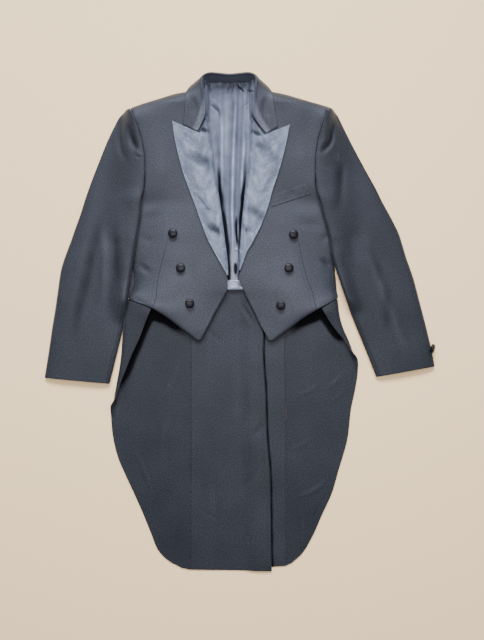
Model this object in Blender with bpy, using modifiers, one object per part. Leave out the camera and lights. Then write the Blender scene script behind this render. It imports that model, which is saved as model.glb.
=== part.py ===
"""An evening tailcoat laid flat on its back, front up and open, with both sleeves down its sides.

Lengths are in millimetres and are turned to metres where a mesh is made. X runs across the coat,
Y up it to the collar, and Z up from the surface that it lies on. Sides are the wearer's, so the
right front lies at -X. Every piece is a wall of cloth: a sheet lofted through the rows of a short
table, with Solidify for its thickness.
"""

from collections import namedtuple
from math import cos, hypot, pi, sin

import bpy
from mathutils import Vector
from mathutils.bvhtree import BVHTree

MM = 0.001

# Cloth, with what is fused inside it
BACK_WALL = 2.0
TAIL_WALL = 2.0
FRONT_WALL = 2.5
LAPEL_WALL = 2.5
COLLAR_WALL = 2.5
SLEEVE_WALL = 1.8
LINING_WALL = 1.0
WELT_WALL = 2.0

SEAM = 0.4
TAIL_SEAM = 0.8
REST = 0.8
LIP = 1.2

# Rows and columns that the lofts get
ROW_STEPS = 1
SLEEVE_STEPS = 2
COLLAR_STEPS = 2
FRONT_FLAT = 7
ROLL_STEPS = 3

# The lapel rolls back over the front edge
LAPEL_ROLL = 4.0
LAPEL_DROP = 7.0
TUCK = LAPEL_WALL + SEAM + 0.8

# The tube of a sleeve
SLEEVE_SEAM = 4.0
SLEEVE_EDGE = 11.0
SLEEVE_LIP = SLEEVE_WALL + SEAM
HEAD_END = 3.4
DOME_POWER = 3.2
CLEARANCE = 1.6
CLEAR_REACH = 12.0
CLEAR_SLOPE = 0.6
CLEAR_STEPS = 4

VENT_LAP = 2.5
VENT_RAMP = 20.0
VENT_CLEAR = 3.0
BUTTON = 20.0
BUTTON_HEIGHT = 6.5

SHADES = {
    "wool": (0.020, 0.024, 0.034),
    "satin": (0.090, 0.105, 0.130),
    "lining": (0.175, 0.165, 0.210),
    "button": (0.030, 0.033, 0.042),
}


# Tables

Front = namedtuple("Front", "x_in y_in z_in x_out y_out side z_out roll crown")

# From the shoulder down: the inner edge, the outer edge, the height where the outer edge starts to
# roll down, where it ends, how wide the roll is, and how much higher the middle is.
# The outer edge is the armhole seam, then the side fold, then the waist seam and the pointed hem.
FRONT_RIGHT = [
    Front(-97, 484, 38, -232, 448, 34, 31, 8, 1),
    Front(-84, 459, 36, -223, 423, 33, 30, 8, 2),
    Front(-76, 430, 32, -214, 393, 31, 28, 8, 3),
    Front(-72, 401, 28, -208, 359, 29, 26, 8, 4),
    Front(-65, 367, 25, -207, 325, 27, 24, 8, 4),
    Front(-60, 324, 22, -209, 289, 22.5, 20, 8, 4),
    Front(-54, 286, 20, -219, 267, 15, 13, 8, 4),
    Front(-50, 260, 19, -249, 253, 10, 6, 10, 4),
    Front(-46, 238, 18, -275, 241, 9, 2.4, 14, 5),
    Front(-42, 204, 17, -267, 206, 9, 2.4, 14, 6),
    Front(-36, 160, 16, -253, 162, 9, 2.4, 14, 6),
    Front(-32, 121, 16, -238, 118, 9.5, 2.4, 14, 6),
    Front(-29, 91, 15, -235, 89, 11, 2.4, 13, 6),
    Front(-30, 68, 14, -240, 67, 13, 2.4, 12, 5),
    Front(-37, 56, 12, -246, 52, 16, 9, 10, 4),
    Front(-43, 45, 11, -236, 45, 18, 15, 6, 3),
    Front(-51, 31, 10.5, -216, 38, 20, 18, 5, 2),
    Front(-59, 17, 10, -195, 30, 22, 20, 4, 1),
    Front(-66, 2, 9.5, -176, 19, 19, 17, 4, 1),
    Front(-74, -12, 9, -158, 7, 16, 14, 4, 1),
    Front(-81, -26, 8, -127, -17, 11, 9.5, 4, 1),
    Front(-88, -39, 7.5, -98, -39, 7.5, 6, 4, 0),
]
FRONT_LEFT = [
    Front(50, 484, 38, 183, 449, 34, 31, 8, 1),
    Front(38, 459, 36, 176, 424, 33, 30, 8, 2),
    Front(29, 430, 32, 167, 393, 31, 28, 8, 3),
    Front(25, 401, 28, 162, 359, 29, 26, 8, 4),
    Front(22, 367, 25, 161, 325, 27, 24, 8, 4),
    Front(19, 324, 22, 163, 289, 22.5, 20, 8, 4),
    Front(13, 286, 20, 174, 269, 15, 13, 8, 4),
    Front(10, 260, 19, 204, 255, 10, 6, 10, 4),
    Front(8, 238, 18, 229, 241, 9, 2.4, 14, 5),
    Front(5, 204, 17, 225, 206, 9, 2.4, 14, 6),
    Front(2, 160, 16, 214, 162, 9, 2.4, 14, 6),
    Front(2, 125, 15, 206, 122, 9.5, 2.4, 14, 6),
    Front(-4, 93, 15, 209, 89, 11, 2.4, 13, 6),
    Front(7, 68, 14, 211, 67, 13, 2.4, 12, 5),
    Front(12, 56, 12, 212, 52, 16, 9, 10, 4),
    Front(18, 45, 11, 203, 45, 18, 15, 6, 3),
    Front(25, 31, 10.5, 190, 38, 20, 18, 5, 2),
    Front(32, 17, 10, 175, 31, 22, 20, 4, 1),
    Front(39, 2, 9.5, 156, 20, 19, 17, 4, 1),
    Front(46, -12, 9, 138, 9, 16, 14, 4, 1),
    Front(54, -26, 8, 105, -16, 11, 9.5, 4, 1),
    Front(62, -40, 7.5, 72, -40, 7.5, 6, 4, 0),
]
ARMHOLE_ROWS = 6
UNDERARM = 5

# The line where the front rolls over the shoulder, neck end first
SHOULDER_RIGHT = [(-98, 505), (-140, 499), (-209, 478), (-241, 467)]
SHOULDER_LEFT = [(50, 505), (92, 498), (165, 477), (193, 469)]
SHOULDER_END = 2.5

Sleeve = namedtuple("Sleeve", "x_in y_in z_in x_out y_out x_under y_under puff over reach")

# From the armhole down to the cuff: the top sleeve's inner edge, the outer edge, the under sleeve's
# inner edge, how far the tube stands above its seams, whether it lies on the front (1) or on the
# floor (0), and how far from the inner edge the sleeve comes down to the floor.
SLEEVE_RIGHT = [
    Sleeve(-232, 448, 31, -268, 444, -241, 448, 1, 0, 36),
    Sleeve(-223, 423, 30, -281, 419, -234, 423, 2, 0, 58),
    Sleeve(-214, 393, 28, -294, 391, -230, 393, 3, 0, 82),
    Sleeve(-208, 359, 26, -308, 356, -228, 359, 5, 0, 100),
    Sleeve(-207, 325, 24, -321, 323, -228, 325, 6, 0, 105),
    Sleeve(-209, 289, 22, -334, 288, -236, 304, 8, 0, 98),
    Sleeve(-215, 268, 24, -341, 268, -217, 272, 9, 1, 90),
    Sleeve(-217, 235, 21, -352, 233, -217, 235, 10, 1, 90),
    Sleeve(-222, 203, 20, -363, 203, -222, 203, 11, 1, 80),
    Sleeve(-227, 171, 18, -372, 177, -227, 171, 11, 1, 70),
    Sleeve(-233, 140, 16, -384, 145, -233, 140, 11, 1, 60),
    Sleeve(-238, 108, 14, -394, 113, -238, 108, 11, 1, 50),
    Sleeve(-244, 69, 10, -400, 74, -244, 69, 11, 1, 45),
    Sleeve(-251, 21, 6, -407, 25, -251, 21, 11, 1, 40),
    Sleeve(-261, -27, 4, -414, -18, -261, -27, 10, 0, 40),
    Sleeve(-274, -80, 4, -421, -67, -274, -80, 9, 0, 40),
    Sleeve(-288, -136, 4, -430, -123, -288, -136, 8, 0, 40),
]
SLEEVE_LEFT = [
    Sleeve(183, 449, 31, 217, 441, 192, 449, 1, 0, 36),
    Sleeve(176, 424, 30, 227, 420, 187, 424, 2, 0, 58),
    Sleeve(167, 393, 28, 241, 392, 183, 393, 3, 0, 82),
    Sleeve(162, 359, 26, 258, 360, 182, 359, 5, 0, 95),
    Sleeve(161, 325, 24, 277, 325, 182, 325, 6, 0, 100),
    Sleeve(163, 289, 22, 297, 289, 190, 304, 8, 0, 98),
    Sleeve(170, 268, 24, 308, 266, 172, 272, 9, 1, 90),
    Sleeve(177, 238, 21, 325, 235, 177, 238, 10, 1, 80),
    Sleeve(184, 213, 20, 338, 210, 184, 213, 11, 1, 75),
    Sleeve(190, 191, 18, 348, 188, 190, 191, 11, 1, 65),
    Sleeve(199, 141, 14, 363, 139, 199, 141, 11, 1, 50),
    Sleeve(214, 92, 8, 378, 96, 214, 92, 11, 1, 40),
    Sleeve(231, 43, 6, 392, 43, 231, 43, 11, 1, 40),
    Sleeve(250, -4, 4, 404, -3, 250, -4, 10, 0, 40),
    Sleeve(273, -60, 4, 416, -53, 273, -60, 9, 0, 40),
    Sleeve(297, -121, 4, 425, -98, 297, -121, 8, 0, 40),
]
HEAD_RIGHT = [(-242, 466), (-252, 462), (-263, 451)]
HEAD_LEFT = [(194, 468.5), (203, 463), (213, 450)]
SLEEVE_ACROSS = [0, 0.03, 0.09, 0.18, 0.3, 0.44, 0.58, 0.72, 0.84, 0.93, 0.98, 1]
UNDER_ACROSS = [0, 0.03, 0.09, 0.18, 0.3, 0.5, 0.8, 0.93, 0.98, 1]

Lapel = namedtuple("Lapel", "x_roll y_roll x_mid y_mid x_edge y_edge")

# The roll line, a corner on the way across, and the free edge. The first row follows the gorge
# seam to the notch and then the upper edge to the peak.
LAPEL_RIGHT = [
    Lapel(-72, 441.5, -88, 405.5, -147, 430),
    Lapel(-65, 396, -91, 393, -142, 396),
    Lapel(-60, 366, -88, 366, -136, 366),
    Lapel(-55, 324, -80, 324, -125, 324),
    Lapel(-49, 285, -72, 285, -111, 285),
    Lapel(-44, 253, -66, 253, -99, 253),
    Lapel(-39, 216, -58, 216, -86, 216),
    Lapel(-34, 177, -49, 177, -71, 177),
    Lapel(-29, 138, -38, 138, -50, 138),
    Lapel(-27, 109, -31, 109, -36, 111),
]
LAPEL_LEFT = [
    Lapel(22.2, 438.5, 50, 401.5, 105, 422),
    Lapel(20, 391, 46, 391, 99, 391),
    Lapel(18, 364, 44, 364, 93, 364),
    Lapel(15, 324, 38, 324, 82, 324),
    Lapel(9, 285, 30, 285, 69, 285),
    Lapel(6, 253, 25, 253, 60, 253),
    Lapel(2, 216, 19, 216, 47, 216),
    Lapel(-1, 177, 10, 177, 28, 177),
    Lapel(-3, 151, 4, 151, 13, 151),
    Lapel(-3, 129, 0, 129, 5, 129),
]
LAPEL_ACROSS = 7

Crease = namedtuple("Crease", "x_top y_top x_bottom y_bottom depth width")
# The largest folds, as soft troughs between two points
SLEEVE_CREASES = [
    Crease(-243, 434, -222, 368, 5, 15),
    Crease(-262, 428, -252, 360, 2.5, 12),
    Crease(-306, 240, -341, 88, 3, 26),
    Crease(-341, 88, -369, -40, 2.5, 24),
    Crease(-272, 215, -274, 70, 2.5, 18),
    Crease(203, 440, 193, 388, 6, 13),
    Crease(193, 388, 168, 364, 5, 12),
    Crease(226, 355, 216, 231, 3, 20),
    Crease(262, 215, 286, 125, 2, 22),
    Crease(314, 75, 330, -35, 2, 24),
]
FRONT_CREASES = [
    Crease(197, 139, 170, 114, 3.5, 15),
    Crease(-225, 128, -196, 104, 2, 15),
]

Collar = namedtuple("Collar", "x_edge y_edge z_edge x_top y_top z_top bend x_neck y_neck z_neck")

# Round the neck from the right notch to the left one: the fall's edge, the middle of the bend at
# the top with its height and radius, and the edge of the stand.
COLLAR_ROWS = [
    Collar(-124, 424, 34, -93.3, 410.5, 35, 2, -91.4, 410, 32),
    Collar(-122, 437, 35, -84, 428, 38, 2.5, -81.4, 427.5, 33),
    Collar(-121, 453, 37, -77, 449, 42, 3.5, -73.3, 449, 33),
    Collar(-119, 480, 40, -79.5, 478, 45, 4, -73, 484, 18),
    Collar(-115, 501, 30, -82.5, 504, 46, 4, -75, 508, 10),
    Collar(-98, 522, 8, -81.5, 521, 43, 4, -73, 519, 6),
    Collar(-68, 534, 1, -66, 530.5, 35, 4, -62, 524, 3.6),
    Collar(-24, 532, 1, -24, 529, 30, 4, -24, 523, 3.6),
    Collar(18, 534, 1, 17, 530.5, 35, 4, 14, 524, 3.6),
    Collar(47, 522, 8, 32.5, 521, 43, 4, 24, 519, 6),
    Collar(64, 501, 30, 31.5, 504, 46, 4, 24, 508, 10),
    Collar(70, 480, 40, 29.5, 478, 45, 4, 22, 484, 18),
    Collar(74, 450, 37, 27, 447, 42, 3.5, 23, 447, 32),
    Collar(78, 433, 35, 40.5, 423, 38, 2.5, 38, 422.5, 33),
    Collar(80, 420, 34, 55.5, 406, 35, 2, 53.6, 405.5, 32),
]

Lining = namedtuple("Lining", "y x_left x_right")
LINING_ROWS = [
    Lining(520, -70, 20),
    Lining(502, -84, 32),
    Lining(470, -88, 35),
    Lining(430, -86, 36),
    Lining(380, -82, 34),
    Lining(330, -76, 31),
    Lining(280, -70, 27),
    Lining(230, -62, 22),
    Lining(180, -56, 18),
    Lining(130, -50, 15),
    Lining(79, -44, 13),
]

Fold = namedtuple("Fold", "x_top x_bottom height width")
# Long folds of the loose lining, from the neck to the hem
LINING_FOLDS = [
    Fold(-46, -38, 5, 9),
    Fold(-12, -20, 7, 10),
    Fold(11, -10, 6, 9),
]
HEM_ROLL = 2.8
LINING_ACROSS = 22

Skirt = namedtuple("Skirt", "y_seam x_seam x_fold y_fold bend turn x_edge y_edge z_edge")
# From the waist down: the tail seam, the fold at the side, its radius, how far round it goes in
# half turns, and the front edge, which lies back over the side until the fold runs out.
SKIRT_RIGHT = [
    Skirt(74, -110, -246, 51, 8, 1, -195, 29, 18),
    Skirt(42, -110, -249, 30, 8, 1, -199, 18, 18),
    Skirt(8, -110, -252, 4, 7.5, 1, -207, 0, 15),
    Skirt(-31, -110, -258, -32, 7, 1, -220, -34, 13),
    Skirt(-71, -110, -262, -72, 6, 1, -238, -73, 11),
    Skirt(-108, -110, -267, -108, 5, 1, -252, -108, 9.5),
    Skirt(-140, -110, -273, -140, 4, 1, -265, -141, 8),
    Skirt(-165, -110, -280, -165, 3.5, 0.7, -283, -165, 7),
    Skirt(-185, -110, -284, -185, 3.5, 0.25, -284.5, -185, 3),
    Skirt(-208, -110, -285, -208, 3.5, 0, -285, -208, 0),
    Skirt(-258, -110, -280, -258, 3.5, 0, -280, -258, 0),
    Skirt(-300, -110, -269, -300, 3.5, 0, -269, -300, 0),
    Skirt(-335, -110, -254, -335, 3.5, 0, -254, -335, 0),
    Skirt(-374, -110, -236, -374, 3.5, 0, -236, -374, 0),
    Skirt(-421, -111, -215, -421, 3.5, 0, -215, -421, 0),
    Skirt(-463, -111, -198, -463, 3.5, 0, -198, -463, 0),
    Skirt(-504, -111, -180, -504, 3.5, 0, -180, -504, 0),
    Skirt(-524, -112, -163, -522, 3.5, 0, -163, -522, 0),
    Skirt(-545, -112, -130, -541, 3.5, 0, -130, -541, 0),
]
SKIRT_LEFT = [
    Skirt(74, 97, 212, 51, 8, 1, 176, 29, 18),
    Skirt(42, 97, 214, 30, 8, 1, 182, 19, 18),
    Skirt(8, 97, 218, 6, 7, 1, 191, 4, 14),
    Skirt(-18, 97, 226, -18, 6, 1, 209, -21, 11),
    Skirt(-40, 97, 236, -40, 4.5, 1, 227, -42, 9),
    Skirt(-60, 97, 246, -60, 3.5, 0.7, 249, -60, 7),
    Skirt(-80, 97, 254, -80, 3.5, 0.25, 255, -80, 3),
    Skirt(-110, 97, 257, -110, 3.5, 0, 257, -110, 0),
    Skirt(-150, 98, 251, -150, 3.5, 0, 251, -150, 0),
    Skirt(-188, 99, 243, -188, 3.5, 0, 243, -188, 0),
    Skirt(-259, 99, 234, -259, 3.5, 0, 234, -259, 0),
    Skirt(-329, 99, 214, -329, 3.5, 0, 214, -329, 0),
    Skirt(-374, 99, 201, -374, 3.5, 0, 201, -374, 0),
    Skirt(-425, 99, 178, -425, 3.5, 0, 178, -425, 0),
    Skirt(-474, 99, 156, -474, 3.5, 0, 156, -474, 0),
    Skirt(-511, 99, 133, -511, 3.5, 0, 133, -511, 0),
    Skirt(-536, 99, 112, -530, 3.5, 0, 112, -530, 0),
]
SKIRT_FLOOR = 6
SKIRT_ARC = 6
SKIRT_TOP = 3
FREE_EDGE = 6

Tail = namedtuple("Tail", "y_right x_seam_right y_vent x_vent y_hidden x_hidden y_left x_seam_left")
# The two centre strips share rows: the right one runs from its seam to the vent's edge, and the left
# one from its hidden edge to its seam.
TAIL_ROWS = [
    Tail(74, -110, 74, 33, 74, 20, 74, 97),
    Tail(8, -110, 8, 44, 8, 20, 8, 97),
    Tail(-23, -110, -23, 49, -23, 20, -23, 97),
    Tail(-71, -110, -71, 49, -71, 20, -71, 97),
    Tail(-148, -110, -148, 54, -148, 22, -148, 98),
    Tail(-258, -110, -258, 58, -258, 25, -258, 99),
    Tail(-329, -110, -329, 64, -329, 27, -329, 99),
    Tail(-419, -111, -419, 66, -419, 29, -419, 99),
    Tail(-500, -111, -500, 67, -500, 30, -500, 99),
    Tail(-545, -112, -548, 68, -541, 31, -537, 99),
]
# Right edge of the back from the neck to the waist; the neck and the waist close it
BACK_RIGHT = [
    (-60, 525), (-84, 511), (-112, 502), (-170, 488), (-209, 475), (-238, 465),
    (-237, 448), (-233, 423), (-229, 393), (-227, 359), (-227, 325), (-229, 300), (-238, 270),
    (-272, 241), (-265, 206), (-251, 162), (-236, 118), (-233, 89), (-236, 67), (-237, 52),
]
BACK_LEFT = [
    (12, 525), (33, 511), (64, 502), (111, 489), (165, 474), (190, 466),
    (188, 448), (186, 423), (182, 393), (181, 359), (181, 325), (183, 300), (193, 270),
    (226, 241), (223, 206), (212, 162), (204, 122), (206, 89), (207, 67), (203, 53),
]
BACK_HEM = 74.8

# Lower inner, lower outer, upper outer and upper inner corner
WELT = [(66, 248), (152, 276), (143, 299), (70, 273)]
WELT_STEPS = (8, 3)

BUTTONS = {
    "button_right_1": (-147, 191),
    "button_right_2": (-130, 116),
    "button_right_3": (-111, 39),
    "button_left_1": (114, 189),
    "button_left_2": (104, 116),
    "button_left_3": (87, 35),
}
# Sewn at the back seam of the left sleeve, it faces outwards
CUFF_BUTTON_PLACE = (418.8, -58, 11.5)
CUFF_BUTTON_FACING = (1, -0.2, 0.12)


# Smooth reading between rows

def cubic(before, a, b, after, t):
    """A Catmull-Rom curve from a to b."""
    return 0.5 * (
        2 * a
        + (b - before) * t
        + (2 * before - 5 * a + 4 * b - after) * t * t
        + (3 * a - before - 3 * b + after) * t * t * t
    )


def refine(rows, steps=ROW_STEPS):
    """A table's own rows, with others read smoothly between them."""
    kind = type(rows[0])
    fine = []
    for i in range(len(rows) - 1):
        four = rows[max(i - 1, 0)], rows[i], rows[i + 1], rows[min(i + 2, len(rows) - 1)]
        for k in range(steps):
            fine.append(kind(*(cubic(*values, k / steps) for values in zip(*four))))
    fine.append(rows[-1])
    return fine


def along(line, t):
    """The point at share t of a line of plan points."""
    at = t * (len(line) - 1)
    i = min(int(at), len(line) - 2)
    return Vector(line[i]).lerp(Vector(line[i + 1]), at - i)


def mix(a, b, t):
    return a + (b - a) * t


def ease(t):
    t = min(max(t, 0), 1)
    return t * t * (3 - 2 * t)


def raised(plan, z):
    return Vector((plan[0], plan[1], z))


def press(rows, creases):
    """Presses soft troughs, which fade out at their ends, into a sheet's points."""
    for crease in creases:
        top = Vector((crease.x_top, crease.y_top))
        line = Vector((crease.x_bottom, crease.y_bottom)) - top
        for point in (point for row in rows for point in row):
            t = min(max((point.xy - top).dot(line) / line.length_squared, 0), 1)
            away = (point.xy - top - t * line).length / crease.width
            point.z -= crease.depth * max(0, 1 - away * away) ** 2


# Making a piece

def material(name):
    made = bpy.data.materials.get(name) or bpy.data.materials.new(name)
    made.use_nodes = True
    shader = made.node_tree.nodes["Principled BSDF"]
    shader.inputs["Base Color"].default_value = (*SHADES[name], 1)
    shader.inputs["Roughness"].default_value = 0.35 if name in ("satin", "lining") else 0.85
    shader.inputs["Metallic"].default_value = 0
    return made


def add(name, mesh, finish):
    piece = bpy.data.objects.new(name, mesh)
    mesh.materials.append(material(finish))
    mesh.shade_smooth()
    coat.objects.link(piece)
    return piece


def grid_faces(rows, columns):
    return [
        (i * columns + j, i * columns + j + 1, (i + 1) * columns + j + 1, (i + 1) * columns + j)
        for i in range(rows - 1)
        for j in range(columns - 1)
    ]


def sheet(name, rows, wall, finish, up=True, even=True):
    """A wall whose outer side runs through the rows' points, and which is as thick inwards."""
    mesh = bpy.data.meshes.new(name)
    points = [point * MM for row in rows for point in row]
    mesh.from_pydata(points, [], grid_faces(len(rows), len(rows[0])))
    middle = len(rows) // 2
    across = rows[middle][-1] - rows[middle][0]
    down = rows[middle + 1][0] - rows[middle - 1][0]
    if (across.cross(down).z > 0) != up:
        mesh.flip_normals()
    piece = add(name, mesh, finish)
    solid = piece.modifiers.new("Wall", "SOLIDIFY")
    solid.thickness = wall * MM
    solid.offset = -1
    solid.use_even_offset = even
    return piece


def surface(rows):
    """What a later piece is laid on: the top of a sheet, for measuring down to it."""
    return BVHTree.FromPolygons(
        [point for row in rows for point in row], grid_faces(len(rows), len(rows[0]))
    )


def top_of(tree, plan):
    """The height of a surface at a plan point, and how upright it faces there."""
    hit, normal, _, _ = tree.ray_cast(raised(plan, 200), Vector((0, 0, -1)))
    return (None, 1) if hit is None else (hit.z, abs(normal.z))


def laid_on(tree, plan, wall, otherwise=None):
    """The height of the outer side of a wall that rests on a surface."""
    height, upright = top_of(tree, plan)
    if height is None:
        return otherwise
    return height + (REST + wall) / max(upright, 0.6)


def cleared(points, plan):
    """The height that passes over a piece's points, sloping down to the floor past its edge."""
    height = 0
    for x, y, z in points:
        far = hypot(plan[0] - x, plan[1] - y) - CLEAR_REACH
        height = max(height, z + CLEARANCE - CLEAR_SLOPE * max(far, 0))
    return height


# Fronts

def front_section(row):
    """One line across a front, which ends in a quarter round and a short upright lip."""
    inner = Vector((row.x_in, row.y_in))
    outer = Vector((row.x_out, row.y_out))
    width = (outer - inner).length
    roll = min(row.roll, 0.5 * width)
    points = []
    for i in range(FRONT_FLAT):
        s = i / FRONT_FLAT
        z = mix(row.z_in, row.side, ease(s)) + row.crown * 4 * s * (1 - s)
        points.append(raised(inner.lerp(outer, s * (1 - roll / width)), z))
    foot = row.z_out + min(LIP, 0.5 * (row.side - row.z_out))
    for k in range(ROLL_STEPS + 1):
        turn = k / ROLL_STEPS * pi / 2
        t = 1 - roll / width * (1 - sin(turn))
        points.append(raised(inner.lerp(outer, t), mix(foot, row.side, cos(turn))))
    points.append(raised(outer, row.z_out))
    return points


def rolled_over(first, line, end, lip=LIP):
    """Rows that take a sheet's first row over the shoulder and down to a height."""
    last = len(first) - 1
    rows = []
    for k in range(ROLL_STEPS, 0, -1):
        turn = k / ROLL_STEPS * pi / 2
        row = []
        for j, point in enumerate(first):
            plan = point.xy.lerp(along(line, j / last), sin(turn))
            row.append(raised(plan, mix(min(end + lip, point.z), point.z, cos(turn))))
        rows.append(row)
    rim = [raised(point.xy, min(end, point.z - 0.3)) for point in rows[0]]
    return [rim] + rows


def front(name, table, shoulder):
    rows = [front_section(row) for row in refine(table)]
    press(rows[UNDERARM:], FRONT_CREASES)
    rows = rolled_over(rows[0], shoulder, SHOULDER_END) + rows
    sheet(name, rows, FRONT_WALL, "wool")
    return rows


# Sleeves

def dome(s):
    """How far a flat tube stands up at share s of its width, from 0 at its edges to 1."""
    near = 2 * min(s, 1 - s)
    return (1 - (1 - near) ** DOME_POWER) ** (1 / DOME_POWER)


def edge_round(away):
    """How far a tube's underside comes up towards a seam that is this far away."""
    near = max(0, 1 - away / SLEEVE_EDGE)
    return (SLEEVE_SEAM - SEAM / 2 - LIP) * (1 - (1 - near * near) ** 0.5)


def sleeve(side, table, head, front_table):
    """A top and an under sleeve that meet along two seams. The tube is open at both ends.

    At the armhole the top one is sewn to the front and the under one to the back, so their inner
    edges lie apart there, and close below it.
    """
    rows = refine(table, SLEEVE_STEPS)
    armhole = [front_section(row)[-1] for row in front_table[:ARMHOLE_ROWS]]
    side_strip = refine(front_table[UNDERARM:], CLEAR_STEPS)
    front_points = [point for row in side_strip for point in front_section(row)]
    outward = 1 if table[0].x_out > table[0].x_in else -1
    shared = (ARMHOLE_ROWS - 1) * SLEEVE_STEPS + 1
    top_rows = []
    under_rows = []
    for i, row in enumerate(rows):
        over = min(max(row.over, 0), 1)
        closed = over if i <= shared else 1
        outer = Vector((row.x_out, row.y_out))
        inner = Vector((row.x_in, row.y_in))
        start = row.z_in
        if i < shared:
            seam = along(armhole, i / (shared - 1))
            inner = seam.xy + Vector((outward * SEAM, 0))
            start = max(seam.z, row.z_in)
        under = Vector((row.x_under, row.y_under))
        floor = [over * cleared(front_points, under.lerp(outer, s)) for s in SLEEVE_ACROSS]
        if i >= shared:
            start = max(start, floor[0] + SLEEVE_SEAM)
        width = (outer - inner).length
        top = [raised(inner, start + SEAM / 2)]
        for s, below in zip(SLEEVE_ACROSS, floor):
            down = 1 - ease(s * width / row.reach)
            puff = max(row.puff * dome(s), SLEEVE_LIP)
            z = SLEEVE_SEAM + (start - SLEEVE_SEAM) * down + puff
            z = max(z, below + SLEEVE_SEAM + 0.8 * puff)
            top.append(raised(inner.lerp(outer, s), z + SEAM / 2))
        top.append(raised(outer, SLEEVE_SEAM + SEAM / 2))
        top_rows.append(top)
        low = [raised(under, floor[0] + closed * (SLEEVE_SEAM - SEAM / 2))]
        for s in UNDER_ACROSS:
            plan = under.lerp(outer, s)
            rise = edge_round((1 - s) * width) + closed * edge_round(s * width)
            low.append(raised(plan, over * cleared(front_points, plan) + rise))
        low[1].xy = under.lerp(outer, (1 - closed) / width)
        low.append(raised(outer, SLEEVE_SEAM - SEAM / 2))
        under_rows.append(low)
    press([row[3:-2] for row in top_rows], SLEEVE_CREASES)
    top_rows = rolled_over(top_rows[0], head, HEAD_END, SLEEVE_LIP) + top_rows
    sheet(f"top_sleeve_{side}", top_rows, SLEEVE_WALL, "wool")
    under_rows = dished(under_rows[0], head) + under_rows
    sheet(f"under_sleeve_{side}", under_rows, SLEEVE_WALL, "wool", up=False, even=False)
    return top_rows


def dished(first, head):
    """The under sleeve's rows towards the shoulder, where it lies flat."""
    last = len(first) - 1
    rows = []
    for share in (1, 0.7, 0.4):
        row = []
        for j, point in enumerate(first):
            plan = point.xy.lerp(along(head, j / last), share)
            row.append(raised(plan, mix(point.z, 0, ease(share))))
        rows.append(row)
    return rows


# Lapels and collar

def lapel(name, table, tree):
    """The front's own cloth turned back: it rolls over the front edge and lies on the front."""
    rows = []
    for row in refine(table):
        fold = Vector((row.x_roll, row.y_roll))
        corner = Vector((row.x_mid, row.y_mid))
        edge = Vector((row.x_edge, row.y_edge))
        first = (corner - fold).length
        roll = min(LAPEL_ROLL, 0.8 * first)
        start = fold.lerp(corner, roll / first)
        inside = fold.lerp(corner, min((TUCK + 0.5) / first, 1))
        level = laid_on(tree, inside, LAPEL_WALL)
        if level is None:
            level = laid_on(tree, edge, LAPEL_WALL)
        low = level - LAPEL_DROP + LIP
        points = [raised(fold, level - LAPEL_DROP)]
        for k in range(ROLL_STEPS + 1):
            turn = (1 - k / ROLL_STEPS) * pi / 2
            points.append(raised(fold.lerp(start, 1 - sin(turn)), mix(low, level, cos(turn))))
        whole = (corner - start).length + (edge - corner).length
        split = (corner - start).length / whole
        for i in range(1, LAPEL_ACROSS + 1):
            s = i / LAPEL_ACROSS
            plan = start.lerp(corner, s / split) if s < split else corner.lerp(
                edge, (s - split) / (1 - split)
            )
            points.append(raised(plan, laid_on(tree, plan, LAPEL_WALL, level)))
        rows.append(points)
    sheet(name, rows, LAPEL_WALL, "satin")


def collar(trees):
    """The fall lies on the fronts, bends over at the top, and the stand drops to the neck seam."""
    rows = []
    for row in refine(COLLAR_ROWS, COLLAR_STEPS):
        edge = Vector((row.x_edge, row.y_edge))
        top = Vector((row.x_top, row.y_top))
        neck = Vector((row.x_neck, row.y_neck))
        outward = (edge - top).normalized()
        inward = (neck - top).normalized()
        points = []
        for s in (0, 0.25, 0.5, 0.75):
            plan = edge.lerp(top + outward * row.bend * 0.7, s)
            z = mix(row.z_edge, row.z_top - row.bend * 0.3, s ** 0.8)
            for tree in trees:
                z = max(z, laid_on(tree, plan, COLLAR_WALL, z))
            points.append(raised(plan, z))
        for k in range(5):
            turn = mix(pi / 4, pi, k / 4)
            side = outward if turn < pi / 2 else inward
            plan = top + side * row.bend * abs(cos(turn))
            z = row.z_top - row.bend * (1 - sin(turn))
            for tree in trees:
                z = max(z, laid_on(tree, plan, COLLAR_WALL if k < 3 else 0.5, z))
            points.append(raised(plan, z))
        last = points[-1]
        for s in (0.5, 1):
            point = last.lerp(raised(neck, row.z_neck), s)
            for tree in trees:
                point.z = max(point.z, laid_on(tree, point.xy, 0, point.z))
            points.append(point)
        rows.append(points)
    sheet("collar", rows, COLLAR_WALL, "wool")


# Back, tails, skirts and lining

def plate(name, outline, wall, finish):
    """A flat piece of cloth on the floor, cut to an outline."""
    mesh = bpy.data.meshes.new(name)
    mesh.from_pydata([raised(point, wall) * MM for point in outline], [], [range(len(outline))])
    if mesh.polygons[0].normal.z < 0:
        mesh.flip_normals()
    piece = add(name, mesh, finish)
    solid = piece.modifiers.new("Wall", "SOLIDIFY")
    solid.thickness = wall * MM
    solid.offset = -1


def back():
    waist = [(-110, BACK_HEM), (97, BACK_HEM)]
    plate("back", BACK_RIGHT + waist + BACK_LEFT[::-1], BACK_WALL, "wool")


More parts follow.
